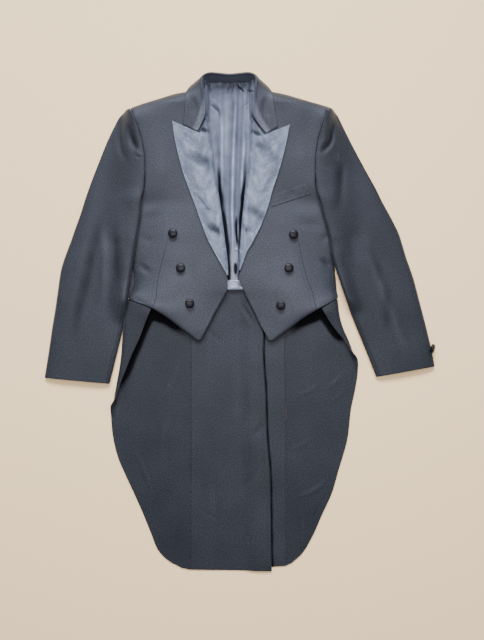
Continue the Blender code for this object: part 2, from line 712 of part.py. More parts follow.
def lining():
    """Loose satin on the back, drawn into long folds, with its hem rolled."""
    rows = []
    fine = refine(LINING_ROWS)
    columns = LINING_ACROSS
    for row in fine:
        down = (LINING_ROWS[0].y - row.y) / (LINING_ROWS[0].y - LINING_ROWS[-1].y)
        points = []
        for j in range(columns + 1):
            x = mix(row.x_left, row.x_right, j / columns)
            z = BACK_WALL + SEAM + LINING_WALL
            for fold in LINING_FOLDS:
                away = (x - mix(fold.x_top, fold.x_bottom, down)) / fold.width
                z += fold.height * (1 - 0.6 * ease(down)) * max(0, 1 - away * away) ** 2
            points.append(Vector((x, row.y, z)))
        rows.append(points)
    last = rows[-1]
    for k in range(1, 6):
        turn = k / 5 * 1.4 * pi
        drop = HEM_ROLL * sin(turn)
        rise = HEM_ROLL * (1 - cos(turn))
        rows.append([Vector((p.x, p.y - drop, p.z + rise)) for p in last])
    sheet("lining", rows, LINING_WALL, "lining")


def skirt_section(row):
    """Along the floor from the tail seam, round the fold at the side, and back to the front edge."""
    seam = Vector((row.x_seam, row.y_seam))
    fold = Vector((row.x_fold, row.y_fold))
    edge = Vector((row.x_edge, row.y_edge))
    out = 1 if row.x_fold > row.x_seam else -1
    turn = min(max(row.turn, 0), 1)
    bend = row.bend + TAIL_WALL / 2
    length = pi * bend
    start = fold - Vector((out * mix(length + FREE_EDGE, bend, turn), 0))
    points = [raised(seam.lerp(start, i / SKIRT_FLOOR), 0) for i in range(SKIRT_FLOOR)]
    for k in range(SKIRT_ARC + 1):
        s = k / SKIRT_ARC
        angle = s * turn * pi
        if angle > 0.05:
            radius = length / (turn * pi)
            x, z = radius * sin(angle), radius * (1 - cos(angle))
        else:
            x, z = length * s, 0
        y = mix(0, 0.3, s * turn) * (edge.y - fold.y)
        points.append(Vector((start.x + out * x, start.y + y, z)))
    last = points[-1].copy()
    end = raised(edge, row.z_edge + TAIL_WALL)
    if turn < 0.999:
        end = last + FREE_EDGE * Vector((out * cos(turn * pi), 0, sin(turn * pi)))
        end.y = last.y
    for k in range(1, SKIRT_TOP + 1):
        points.append(last.lerp(end, k / SKIRT_TOP))
    return points


def skirt(name, table):
    rows = [skirt_section(row) for row in refine(table)]
    sheet(name, rows, TAIL_WALL, "wool", up=False)


def tails():
    """Two strips between the skirts. The right one lifts over the left one along the vent."""
    right = []
    left = []
    for row in refine(TAIL_ROWS):
        low = Vector((row.x_seam_right + TAIL_SEAM, row.y_right))
        vent = Vector((row.x_vent, row.y_vent))
        hidden = Vector((row.x_hidden, row.y_hidden))
        far = Vector((row.x_seam_left - TAIL_SEAM, row.y_left))
        points = []
        start, end = row.x_hidden - VENT_RAMP, row.x_hidden - VENT_CLEAR
        for x in (low.x, mix(low.x, start, 0.5), start, mix(start, end, 0.5), end, vent.x):
            plan = low.lerp(vent, (x - low.x) / (vent.x - low.x))
            points.append(raised(plan, TAIL_WALL + VENT_LAP * ease((x - start) / (end - start))))
        right.append(points)
        left.append([raised(hidden.lerp(far, j / 4), TAIL_WALL) for j in range(5)])
    sheet("tail_right", right, TAIL_WALL, "wool")
    sheet("tail_left", left, TAIL_WALL, "wool")


# Welt and buttons

def welt(tree):
    low_in, low_out, high_out, high_in = (Vector(corner) for corner in WELT)
    rows = []
    for i in range(WELT_STEPS[1] + 1):
        t = i / WELT_STEPS[1]
        row = []
        for j in range(WELT_STEPS[0] + 1):
            s = j / WELT_STEPS[0]
            plan = low_in.lerp(low_out, s).lerp(high_in.lerp(high_out, s), t)
            row.append(raised(plan, laid_on(tree, plan, WELT_WALL)))
        rows.append(row)
    sheet("breast_welt", rows, WELT_WALL, "wool")


def button(name, foot, facing):
    """A domed mould covered with cloth, on a short shank: a turned shape."""
    half = BUTTON / 2
    profile = [(0, BUTTON_HEIGHT)]
    for k in range(1, 4):
        turn = k / 3 * pi / 2
        profile.append((half * sin(turn), 2.6 + (BUTTON_HEIGHT - 2.6) * cos(turn)))
    profile += [(half * 0.9, 1.5), (4.5, 1.2), (4, 0), (0, 0)]
    mesh = bpy.data.meshes.new(name)
    mesh.from_pydata(
        [Vector((x, 0, z)) * MM for x, z in profile],
        [(i, i + 1) for i in range(len(profile) - 1)],
        [],
    )
    piece = add(name, mesh, "button")
    turned = piece.modifiers.new("Turned", "SCREW")
    turned.steps = 14
    turned.render_steps = 14
    turned.use_merge_vertices = True
    turned.merge_threshold = 0.00005
    piece.rotation_mode = "QUATERNION"
    piece.rotation_quaternion = facing.to_track_quat("Z", "Y")
    piece.location = foot * MM
    return piece


def front_buttons(trees):
    for name, place in BUTTONS.items():
        tree = trees[0] if place[0] < 0 else trees[1]
        hit, normal, _, _ = tree.ray_cast(raised(place, 200), Vector((0, 0, -1)))
        facing = normal if normal.z > 0 else -normal
        button(name, hit + facing * REST, facing)


# The coat

def centre():
    """Moves the coat so that its box stands on the origin."""
    bpy.context.view_layer.update()
    depsgraph = bpy.context.evaluated_depsgraph_get()
    corners = []
    for piece in coat.objects:
        shown = piece.evaluated_get(depsgraph)
        mesh = shown.to_mesh()
        corners += [piece.matrix_world @ vertex.co for vertex in mesh.vertices]
        shown.to_mesh_clear()
    low = Vector([min(corner[i] for corner in corners) for i in range(3)])
    high = Vector([max(corner[i] for corner in corners) for i in range(3)])
    middle = (low + high) / 2
    for piece in coat.objects:
        piece.location -= Vector((middle.x, middle.y, low.z))


for old in list(bpy.data.objects):
    bpy.data.objects.remove(old, do_unlink=True)
coat = bpy.data.collections.new("tailcoat")
bpy.context.scene.collection.children.link(coat)

back()
tails()
skirt("skirt_right", SKIRT_RIGHT)
skirt("skirt_left", SKIRT_LEFT)
lining()
right_rows = front("front_right", FRONT_RIGHT, SHOULDER_RIGHT)
left_rows = front("front_left", FRONT_LEFT, SHOULDER_LEFT)
right_tree = surface(right_rows)
left_tree = surface(left_rows)
sleeve("right", SLEEVE_RIGHT, HEAD_RIGHT, FRONT_RIGHT)
sleeve("left", SLEEVE_LEFT, HEAD_LEFT, FRONT_LEFT)
lapel("lapel_right", LAPEL_RIGHT, right_tree)
lapel("lapel_left", LAPEL_LEFT, left_tree)
collar((right_tree, left_tree))
welt(left_tree)
front_buttons((right_tree, left_tree))
button("cuff_button_left", Vector(CUFF_BUTTON_PLACE), Vector(CUFF_BUTTON_FACING))
centre()
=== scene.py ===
"""The looks of an evening tailcoat laid flat on its back, front up and open.

Lengths are in millimetres, drawn round the same point as the part's own tables, and each mesh is
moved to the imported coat's place when it is made. X runs across the coat, Y up it to the collar, and
Z up from the floor. Sides are the wearer's, so the right front lies at -X. Each piece of cloth is a
fine grid on its solid's form, with the folds of the photographed coat pressed into it.
"""

from collections import namedtuple
from math import cos, pi, sin

import bpy
import numpy as np
from mathutils import Matrix, Vector, noise
from mathutils.bvhtree import BVHTree


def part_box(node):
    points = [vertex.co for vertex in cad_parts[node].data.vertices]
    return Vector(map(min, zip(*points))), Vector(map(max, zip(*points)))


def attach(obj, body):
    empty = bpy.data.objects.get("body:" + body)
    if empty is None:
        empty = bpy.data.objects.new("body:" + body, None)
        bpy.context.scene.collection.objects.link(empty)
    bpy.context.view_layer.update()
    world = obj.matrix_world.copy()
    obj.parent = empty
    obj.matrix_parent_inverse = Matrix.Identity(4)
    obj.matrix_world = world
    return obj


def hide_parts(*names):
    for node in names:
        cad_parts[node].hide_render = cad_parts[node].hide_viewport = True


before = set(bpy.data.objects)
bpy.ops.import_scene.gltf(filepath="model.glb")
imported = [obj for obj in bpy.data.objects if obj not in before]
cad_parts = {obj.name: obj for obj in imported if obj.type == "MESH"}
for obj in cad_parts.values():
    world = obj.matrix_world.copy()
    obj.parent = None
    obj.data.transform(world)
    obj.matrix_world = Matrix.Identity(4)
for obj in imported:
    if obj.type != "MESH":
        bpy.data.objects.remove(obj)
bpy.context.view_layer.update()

# Where the tables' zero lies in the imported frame: the right tail's low corner, packed and drawn
MM = 0.001
DRAWN_CORNER = Vector((-111.2, -548, 0))
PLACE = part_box("tail_right")[0] / MM - DRAWN_CORNER


# The back, which everything else lies on. It is one layer of wool from the shoulder seams to the
# waist seam, flat on the floor, and only its outer side, underneath, and a strip of its neck are
# ever seen. Barathea is cut, sewn and pressed flat.

def linear(colour):
    """A colour from its sRGB hex value, for a shader."""
    parts = [int(colour[i:i + 2], 16) / 255 for i in (0, 2, 4)]
    return (*(p / 12.92 if p < 0.04045 else ((p + 0.055) / 1.055) ** 2.4 for p in parts), 1)


def fill(material, node, inputs):
    """Gives each of a node's inputs its value, or links it to the output that feeds it."""
    for name, value in inputs.items():
        if isinstance(value, bpy.types.NodeSocket):
            material.node_tree.links.new(value, node.inputs[name])
        else:
            node.inputs[name].default_value = value


def add_node(material, kind, inputs=None, **settings):
    """Adds a node with its settings and its inputs."""
    node = material.node_tree.nodes.new("ShaderNode" + kind)
    for name, value in settings.items():
        setattr(node, name, value)
    fill(material, node, inputs or {})
    return node


def new_material(name, inputs):
    """A material with one shader, and the values that are the same all over it."""
    material = bpy.data.materials.new(name)
    material.use_nodes = True
    shader = material.node_tree.nodes["Principled BSDF"]
    fill(material, shader, inputs)
    return material, shader


def ramp(material, factor, stops):
    """Colours along a factor, from rows of a position and an sRGB hex value."""
    node = add_node(material, "ValToRGB", {"Fac": factor})
    elements = node.color_ramp.elements
    while len(elements) < len(stops):
        elements.new(1)
    for element, (position, colour) in zip(elements, stops):
        element.position = position
        element.color = linear(colour)
    return node.outputs["Color"]


# A wave texture repeats once in this length when its scale is 1
WAVE = pi / 5
# Barathea is a close broken twill with about 30 threads to the centimetre. One rib in four is drawn.
BARATHEA_RIB = 1.4
# Half the width of the fine dark line along a seam and along a painted shadow line
SEAM_AND_SHADOW_LINE = 1.3
# Pressing gives wool a gloss. The painted fold shade scales it, lowering it deep in creases and in
# painted shade and raising it on ridges.
WOOL_GLOSS = 0.65


def painted_fold_shade(material, deep, dark, light):
    """Painted shade and highlight: what the colour is multiplied by in a crease, from light at 3
    above it, on a ridge, to dark when deep.
    """
    painted_shade = add_node(material, "Attribute", attribute_name="painted_shade").outputs["Fac"]
    above = add_node(material, "Math", {0: painted_shade, 1: 0}, operation="MINIMUM")
    ridge = add_node(material, "Math", {
        0: above.outputs[0], 1: (1 - light) / 3, 2: 1,
    }, operation="MULTIPLY_ADD")
    trough = add_node(material, "MapRange", {
        "Value": painted_shade, "From Min": 0, "From Max": deep, "To Min": 1, "To Max": dark,
    }, clamp=True)
    both = add_node(material, "Math", {
        0: ridge.outputs[0], 1: trough.outputs["Result"],
    }, operation="MULTIPLY")
    return both.outputs[0]


def barathea(name):
    """Black worsted with a blue cast: close and matt, with a soft gloss towards the light, and fine
    dark lines where it is seamed and where painted shadow lines lie. Painted shade darkens its
    colour and gloss in creases, and painted highlight lightens them on ridges."""
    material, shader = new_material(name, {
        "Roughness": 0.56, "Specular Tint": linear("c4d0ee"),
        "Sheen Weight": 0.15, "Sheen Roughness": 0.5, "Sheen Tint": linear("b9c5dd"),
    })
    across = add_node(material, "UVMap").outputs["UV"]
    place = add_node(material, "TexCoord").outputs["Object"]
    rib = add_node(material, "TexWave", {
        "Vector": across, "Scale": WAVE / (BARATHEA_RIB * MM), "Distortion": 1.2, "Detail": 1,
        "Detail Scale": 1.5,
    }, bands_direction="DIAGONAL")
    fibre = add_node(material, "TexNoise", {
        "Vector": across, "Scale": 420, "Detail": 4, "Roughness": 0.7,
    })
    cloud = add_node(material, "TexNoise", {
        "Vector": place, "Scale": 9, "Detail": 3, "Roughness": 0.5,
    })
    part = add_node(material, "Math", {0: cloud.outputs["Fac"], 1: 0.2}, operation="MULTIPLY")
    tone = add_node(material, "Math", {0: part.outputs[0], 1: fibre.outputs["Fac"]}, operation="ADD")
    colour = ramp(material, tone.outputs[0], [(0.46, "101216"), (0.6, "20232a"), (0.75, "393d47")])
    # The fine dark line along a seam, and along a painted shadow line, darkens the colour and is sunk by
    # a bump
    seam = add_node(material, "Attribute", attribute_name="seam").outputs["Fac"]
    seam_and_shadow_darkness = add_node(material, "Attribute", attribute_name="seam_and_shadow_darkness").outputs["Fac"]
    away = add_node(material, "Math", {0: seam}, operation="ABSOLUTE")
    line = add_node(material, "MapRange", {
        "Value": away.outputs[0], "From Min": 0, "From Max": SEAM_AND_SHADOW_LINE, "To Min": 1, "To Max": 0,
    }, clamp=True)
    groove = add_node(material, "Math", {0: line.outputs["Result"], 1: seam_and_shadow_darkness}, operation="MULTIPLY")
    fold_shade = painted_fold_shade(material, 8, 0.06, 1.2)
    kept = add_node(material, "Math", {0: 1, 1: groove.outputs[0]}, operation="SUBTRACT")
    shade = add_node(material, "Math", {0: fold_shade, 1: kept.outputs[0]}, operation="MULTIPLY")
    toned = add_node(material, "VectorMath", {0: colour, "Scale": shade.outputs[0]}, operation="SCALE")
    # The gloss is lowered and raised by the same painted fold shade
    gloss = add_node(material, "Math", {0: fold_shade, 1: WOOL_GLOSS}, operation="MULTIPLY")
    threads = add_node(material, "Bump", {
        "Height": rib.outputs["Fac"], "Strength": 0.25, "Distance": 0.25 * MM,
    })
    nap = add_node(material, "Bump", {
        "Height": fibre.outputs["Fac"], "Strength": 0.4, "Distance": 0.45 * MM,
        "Normal": threads.outputs["Normal"],
    })
    soft = add_node(material, "Bump", {
        "Height": cloud.outputs["Fac"], "Strength": 0.1, "Distance": 1.5 * MM,
        "Normal": nap.outputs["Normal"],
    })
    sunk = add_node(material, "Bump", {
        "Height": groove.outputs[0], "Strength": 0.6, "Distance": 0.6 * MM,
        "Normal": soft.outputs["Normal"],
    }, invert=True)
    fill(material, shader, {
        "Base Color": toned.outputs["Vector"], "Specular IOR Level": gloss.outputs[0],
        "Normal": sunk.outputs["Normal"],
    })
    return material


wool = barathea("black_barathea")


def through(points, spacing):
    """More rows of points, on smooth curves through the given ones."""
    chord = np.maximum(np.linalg.norm(np.diff(points, axis=0), axis=-1, keepdims=True), 1e-6)
    slope = np.diff(points, axis=0) / chord
    tangent = np.concatenate([slope[:1], slope[:-1], slope[-1:]])
    tangent[1:-1] = (slope[:-1] * chord[1:] + slope[1:] * chord[:-1]) / (chord[1:] + chord[:-1])
    tangent[-1] = slope[-1]
    rows = []
    for i in range(len(chord)):
        a, b = points[i], points[i + 1]
        leave, arrive = tangent[i] * chord[i], tangent[i + 1] * chord[i]
        steps = max(1, round(chord[i].mean() / spacing))
        for k in range(steps):
            t = k / steps
            rows.append(
                a * (1 + 2 * t) * (1 - t) ** 2 + b * t * t * (3 - 2 * t)
                + leave * t * (1 - t) ** 2 - arrive * t * t * (1 - t)
            )
    return np.array(rows + [points[-1]])


# Distance between the points of a finished sheet
FINE = 3


def finer(rows, spacing=FINE):
    """A sheet's rows of points as a fine grid."""
    points = np.array([[tuple(point) for point in row] for row in rows], float)
    points = through(points, spacing)
    return through(points.swapaxes(0, 1), spacing).swapaxes(0, 1)


def mix(a, b, t):
    return a + (b - a) * t


def ease(t):
    t = min(max(t, 0), 1)
    return t * t * (3 - 2 * t)


# Distance between the points of a finished path
PATH_FINE = 6


def beside(points, path):
    """How far a grid's points lie from a path in plan, on its left or not, and the path's third
    column and the length gone along it at the nearest place."""
    flat = points[..., :2].reshape(-1, 2)
    path = through(np.array(path, float), PATH_FINE)
    near = np.full(len(flat), 1e9)
    left = np.zeros(len(flat), bool)
    share = np.zeros(len(flat))
    along = np.zeros(len(flat))
    gone = 0
    for a, b in zip(path[:-1], path[1:]):
        line = b[:2] - a[:2]
        length = np.hypot(*line)
        t = np.clip(((flat - a[:2]) @ line) / length ** 2, 0, 1)
        away = flat - a[:2] - t[:, None] * line
        far = np.hypot(away[:, 0], away[:, 1])
        closer = far < near
        near[closer] = far[closer]
        left[closer] = (line[0] * away[:, 1] - line[1] * away[:, 0] > 0)[closer]
        share[closer] = (a[2] + (b[2] - a[2]) * t)[closer]
        along[closer] = (gone + t * length)[closer]
        gone += length
    return near, left, share, along


# A seam or painted shadow line is drawn as far as this from its path, so that two lines don't disturb
# each other
SEAM_AND_SHADOW_REACH = 9


def near_seams_and_shadows(points, paths):
    """Each point's distance from the nearest seam or painted shadow line, above 0 on its left, and how
    plain it shows.
    """
    seam = np.full(points.shape[0] * points.shape[1], SEAM_AND_SHADOW_REACH, float)
    seam_and_shadow_darkness = np.zeros(len(seam))
    for path in paths:
        near, left, share, _ = beside(points, path)
        close = near < SEAM_AND_SHADOW_REACH
        seam[close] = np.where(left, near, -near)[close]
        seam_and_shadow_darkness[close] = share[close]
    return seam, seam_and_shadow_darkness


def grid_faces(rows, columns):
    return [
        (i * columns + j, i * columns + j + 1, (i + 1) * columns + j + 1, (i + 1) * columns + j)
        for i in range(rows - 1)
        for j in range(columns - 1)
    ]


def lengths(points, axis):
    """How far each point of a grid has come along its row, axis 1, or its column, axis 0."""
    steps = np.linalg.norm(np.diff(points, axis=axis), axis=2)
    return np.insert(np.cumsum(steps, axis=axis), 0, 0, axis=axis)


# A turned edge is round over this share of its wall, and at most over this
ROUND_SHARE, ROUND_MOST = 0.4, 0.9


def cloth(name, points, wall, material, up=True, depth_and_painted_shade=None, seam_and_shadow_lines=()):
    """A wall of cloth whose outer side runs through a grid of points, with softly rounded edges."""
    rows, columns = points.shape[:2]
    mesh = bpy.data.meshes.new(name)
    placed = (points.reshape(-1, 3) + np.array(PLACE)) * MM
    mesh.from_pydata(placed.tolist(), [], grid_faces(rows, columns))
    run = np.dstack([lengths(points, 1), lengths(points, 0)]) * MM
    corners = np.empty(len(mesh.loops), int)
    mesh.loops.foreach_get("vertex_index", corners)
    mesh.uv_layers.new(name="UVMap").data.foreach_set("uv", run.reshape(-1, 2)[corners].ravel())
    if depth_and_painted_shade is None:
        depth_and_painted_shade = np.zeros((rows, columns))
    seam, seam_and_shadow_darkness = near_seams_and_shadows(points, seam_and_shadow_lines)
    # Each point's crease depth, with painted shade added, goes to the material, which paints it as shade
    # in creases and as highlight on ridges
    for kind, values in (("painted_shade", depth_and_painted_shade.ravel()), ("seam", seam), ("seam_and_shadow_darkness", seam_and_shadow_darkness)):
        mesh.attributes.new(kind, "FLOAT", "POINT").data.foreach_set("value", values)
    middle = rows // 2
    across = Vector(points[middle, -1] - points[middle, 0])
    down = Vector(points[middle + 1, 0] - points[middle - 1, 0])
    if (across.cross(down).z > 0) != up:
        mesh.flip_normals()
    mesh.materials.append(material)
    mesh.shade_smooth()
    piece = bpy.data.objects.new(name, mesh)
    bpy.context.scene.collection.objects.link(piece)
    solid = piece.modifiers.new("Wall", "SOLIDIFY")
    solid.thickness = wall * MM
    solid.offset = -1
    rim = piece.modifiers.new("Turned edge", "BEVEL")
    rim.width = min(ROUND_SHARE * wall, ROUND_MOST) * MM
    rim.segments = 2
    rim.limit_method = "ANGLE"
    rim.angle_limit = pi / 3
    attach(piece, "root")
    return piece


BACK_WALL = 2
BACK_HEM = 74.8
BACK_RIGHT = [
    (-82, 527), (-92, 513), (-112, 502), (-170, 488), (-209, 475), (-243, 465),
    (-240, 448), (-233, 423), (-229, 393), (-227, 359), (-227, 325), (-229, 300), (-238, 270),
    (-272, 241), (-265, 206), (-251, 162), (-244, 118), (-250, 89), (-254, 67), (-254, 36),
]
BACK_LEFT = [
    (34, 527), (42, 513), (64, 502), (111, 489), (165, 474), (190, 466),
    (188, 448), (186, 423), (182, 393), (181, 359), (181, 325), (183, 300), (193, 270),
    (226, 241), (223, 206), (212, 162), (204, 122), (206, 89), (207, 67), (203, 53),
]
# The columns stand close at the right end, where the corner comes down
BACK_ACROSS = (0, 0.008, 0.016, *np.linspace(0.09, 1, 11))
BACK_FINE = 8
# Where the waist seam turns down towards the sides, and by how much
BACK_CORNERS = (-110, 97)
BACK_DIP = 22
# The rows that the waist seam cuts off end this far apart
BACK_ROW = 3
# Past the right skirt's fold the back's corner comes down beside it
BACK_FOLD = -247
FOLD_DROP, FOLD_REACH = 18, 7

rows = []
last = len(BACK_RIGHT) - 1
for i, (right, left) in enumerate(zip(BACK_RIGHT, BACK_LEFT)):
    row = []
    for s in BACK_ACROSS:
        x, y = mix(right[0], left[0], s), mix(right[1], left[1], s)
        slope_right = ease((BACK_CORNERS[0] - x) / (BACK_CORNERS[0] - BACK_RIGHT[-1][0]))
        slope_left = ease((x - BACK_CORNERS[1]) / (BACK_LEFT[-1][0] - BACK_CORNERS[1]))
        hem = BACK_HEM - BACK_DIP * max(slope_right, slope_left) + BACK_ROW * (last - i)
        hem -= FOLD_DROP * min(max((BACK_FOLD - x) / FOLD_REACH, 0), 1)
        row.append((x, max(y, hem), BACK_WALL))
    rows.append(row)
piece = cloth("coat_back", finer(rows, BACK_FINE), BACK_WALL, wool)
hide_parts("back")


# The tails: two long strips of wool between the skirts, with their lined inner side up. The right
# one laps over the left one along the back vent. They are held by the waist seam and the skirts'
# seams, and lie loose on the floor below that.

def raised(plan, z):
    return Vector((plan[0], plan[1], z))


Crease = namedtuple("Crease", "depth left right path")
# No crease is even: its depth wavers by this share, once in about six times this length
WAVER, WAVER_LENGTH = 0.12, 9


def press(points, creases, hold=1):
    """Presses creases into a grid and says how deep each point went.

    A crease is a trough with a low swell on either side. Its widths are to the left and the right
    of its path, and its path has rows of x, y and the share of its depth there. A ridge's depth is
    below 0.
    """
    depth_and_painted_shade = np.zeros(points.shape[0] * points.shape[1])
    for crease in creases:
        near, left, share, along = beside(points, crease.path)
        uneven = 1 + WAVER * np.sin(along / WAVER_LENGTH + crease.path[0][0])
        reach = (near / np.where(left, crease.left, crease.right)) ** 2
        depth_and_painted_shade += crease.depth * share * uneven * (1 - reach) * np.exp(-reach)
    depth_and_painted_shade = depth_and_painted_shade.reshape(points.shape[:2]) * hold
    points[..., 2] -= depth_and_painted_shade
    return depth_and_painted_shade


def shaded(points, strokes):
    """How dark the soft shade along some paths makes each point, without moving it."""
    return sum(np.maximum(press(points.copy(), [stroke]), 0) for stroke in strokes)


def ripple(points, height, length, seed=0):
    """Slight unevenness, as pressed cloth has, only upwards."""
    for row in points:
        for point in row:
            place = Vector((point[0] / length, point[1] / length, seed))
            point[2] += height * (0.5 + 0.5 * noise.noise(place))


TAIL_WALL = 2
TAIL_SEAM = -0.3
TAIL_ACROSS = 4
VENT_LAP = 2.5
VENT_RAMP = 20
VENT_CLEAR = 3
Tail = namedtuple("Tail", "y_right x_seam_right y_vent x_vent y_hidden x_hidden y_left x_seam_left")
TAIL_ROWS = [
    Tail(y, seam_right, y, vent, y, hidden, y, seam_left)
    for y, seam_right, vent, hidden, seam_left in (
        (74, -110, 33, 20, 97), (8, -110, 44, 20, 97), (-23, -110, 49, 20, 97),
        (-71, -110, 49, 20, 97), (-148, -110, 54, 22, 98), (-258, -110, 58, 25, 99),
        (-329, -110, 64, 27, 99), (-419, -111, 66, 29, 99), (-500, -111, 67, 30, 99),
    )
]
# Only the hem isn't level
TAIL_ROWS.append(Tail(-545, -112, -548, 68, -541, 31, -537, 99))
# Pressed cloth on a floor: it stands up a little between the places where it touches
TAIL_CREASES = [
    Crease(1, 5, 7, [(-2, 48, 0), (16, 18, 1), (42, -19, 0)]),
    Crease(-0.5, 9, 9, [(-80, 40, 0), (-72, -20, 1), (-74, -120, 0)]),
    Crease(0.5, 7, 7, [(-96, 20, 0), (-60, -30, 1), (-28, -52, 0)]),
    Crease(-0.5, 12, 12, [(-20, -60, 0), (-8, -140, 1), (-12, -260, 0)]),
    Crease(0.5, 6, 6, [(44, -310, 0), (16, -350, 1), (-20, -372, 0)]),
    Crease(0.5, 8, 8, [(60, -205, 0), (40, -235, 1), (8, -262, 0)]),
    Crease(-0.5, 10, 10, [(-70, -330, 0), (-62, -420, 1), (-66, -500, 0)]),
    Crease(0.4, 5, 5, [(-100, -400, 0), (-70, -424, 1), (-40, -436, 0)]),
]
TAIL_RISE, TAIL_WAVE = 1, 60
# Painted shade darkens the whole of each tail, so the tails look darker than the fronts
TAIL_PAINTED_SHADE = 2.2
# The lap's shade on the tail under it
VENT_SHADE = Crease(7, 4, 4, [(row.x_vent + 1.5, row.y_vent, 1) for row in TAIL_ROWS])
# Dark lines: the tail seams, the vent's lap edge, and painted shadow lines where the fronts' hems lie
# over the tails
TAIL_SEAM_AND_SHADOW_LINES = {
    "right": [
        [(-108.5, 70, 0.2), (-108.5, -200, 0.4), (-109.5, -540, 0.4)],
        [(row.x_vent - 1, row.y_vent, 0.8) for row in TAIL_ROWS],
        [
            (-27.5, 72, 0.9), (-34.5, 55, 0.9), (-49, 29, 1), (-64, 0, 1), (-80, -30, 1), (-87, -42, 1),
            (-98, -42, 1), (-110, -33, 1),
        ],
        [(3, 72, 0.9), (10, 55, 0.9), (23, 29, 1), (37, 0, 1), (52, -29, 1)],
    ],
    "left": [
        [(95.5, 70, 0.2), (97, -200, 0.35), (97.5, -536, 0.35)],
        [(44, -15, 1), (52, -29, 1), (60, -43, 1), (73, -43, 1), (90, -31, 1), (110, -16, 1)],
    ],
}

right_rows, left_rows = [], []
for row in TAIL_ROWS:
    low = Vector((row.x_seam_right + TAIL_SEAM, row.y_right))
    vent = Vector((row.x_vent, row.y_vent))
    hidden = Vector((row.x_hidden, row.y_hidden))
    far = Vector((row.x_seam_left - TAIL_SEAM, row.y_left))
    start, end = row.x_hidden - VENT_RAMP, row.x_hidden - VENT_CLEAR
    points = []
    for x in (low.x, mix(low.x, start, 0.5), start, mix(start, end, 0.5), end, vent.x):
        plan = low.lerp(vent, (x - low.x) / (vent.x - low.x))
        points.append(raised(plan, TAIL_WALL + VENT_LAP * ease((x - start) / (end - start))))
    right_rows.append(points)
    left_rows.append([
        raised(hidden.lerp(far, j / TAIL_ACROSS), TAIL_WALL) for j in range(TAIL_ACROSS + 1)
    ])
for side, rows, flat in (("right", right_rows, (0.18, 0.624)), ("left", left_rows, (0.076, 0.615))):
    points = finer(rows)
    ripple(points, TAIL_RISE, TAIL_WAVE)
    depth_and_painted_shade = press(points, TAIL_CREASES) + TAIL_PAINTED_SHADE
    if side == "left":
        depth_and_painted_shade += shaded(points, [VENT_SHADE])
    points[..., 2] = np.maximum(points[..., 2], TAIL_WALL)
    piece = cloth(
        f"tail_strip_{side}", points, TAIL_WALL, wool, depth_and_painted_shade=depth_and_painted_shade,
        seam_and_shadow_lines=TAIL_SEAM_AND_SHADOW_LINES[side],
    )
    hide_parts(f"tail_{side}")


# The skirts run from the fronts' waist seam round to the tails, cut in one with the coat's side
# fold. Their front edges lie back over the sides, so that the outer side of the wool shows there.

SKIRT_FLOOR = 6
SKIRT_ARC = 6
SKIRT_TOP = 3
FREE_EDGE = 6
# Where a skirt is narrow, its bend and free edge take up at most this share of its width
NARROW = 0.8
# The fold takes this share of the way that the edge lies up or down from it
FOLD_LEAN = 0.3
# An arc that turns less than this is a line
LEAST_ARC = 0.05
Skirt = namedtuple("Skirt", "y_seam x_seam x_fold y_fold bend turn x_edge y_edge z_edge")
FLAT_BEND = 3.5


def flat_rows(rows):
    """Rows where a skirt isn't turned back, so that its side is its edge, from the first four
    numbers of each."""
    return [Skirt(*row, FLAT_BEND, 0, *row[2:], 0) for row in rows]


SKIRT_RIGHT = [
    Skirt(74, -110, -249, 51, 8, 1, -195, 29, 18),
    Skirt(42, -110, -253, 30, 7.5, 1, -199, 18, 18),
    Skirt(8, -110, -255.5, 4, 7.5, 1, -207, 0, 15),
    Skirt(-31, -110, -259, -32, 7, 1, -220, -34, 13),
    Skirt(-71, -110, -262, -72, 6, 1, -238, -73, 11),
    Skirt(-108, -110, -267, -108, 5, 1, -252, -108, 9.5),
    Skirt(-140, -110, -273, -140, 4, 1, -265, -141, 8),
    Skirt(-165, -110, -280, -165, 3.5, 0.7, -283, -165, 7),
    Skirt(-185, -110, -284, -185, 3.5, 0.25, -284.5, -185, 3),
    *flat_rows([
        (-208, -110, -285, -208), (-258, -110, -280, -258), (-300, -110, -269, -300),
        (-335, -110, -254, -335), (-374, -110, -236, -374), (-421, -111, -215, -421),
        (-463, -111, -198, -463), (-504, -111, -180, -504), (-524, -112, -163, -522),
        (-545, -112, -130, -541),
    ]),
]
SKIRT_LEFT = [
    Skirt(74, 97, 212, 51, 8, 1, 176, 29, 18),
    Skirt(42, 97, 214, 30, 8, 1, 182, 19, 18),
    Skirt(8, 97, 218, 6, 7, 1, 191, 4, 14),
    Skirt(-18, 97, 226, -18, 6, 1, 209, -21, 11),
    Skirt(-40, 97, 236, -40, 4.5, 1, 227, -42, 9),
    Skirt(-60, 97, 246, -60, 3.5, 0.7, 249, -60, 7),
    Skirt(-80, 97, 254, -80, 3.5, 0.25, 255, -80, 3),
    *flat_rows([
        (-110, 97, 257, -110), (-150, 98, 251, -150), (-188, 99, 243, -188), (-259, 99, 234, -259),
        (-329, 99, 214, -329), (-374, 99, 201, -374), (-425, 99, 178, -425), (-474, 99, 156, -474),
        (-511, 99, 133, -511), (-536, 99, 112, -530),
    ]),
]
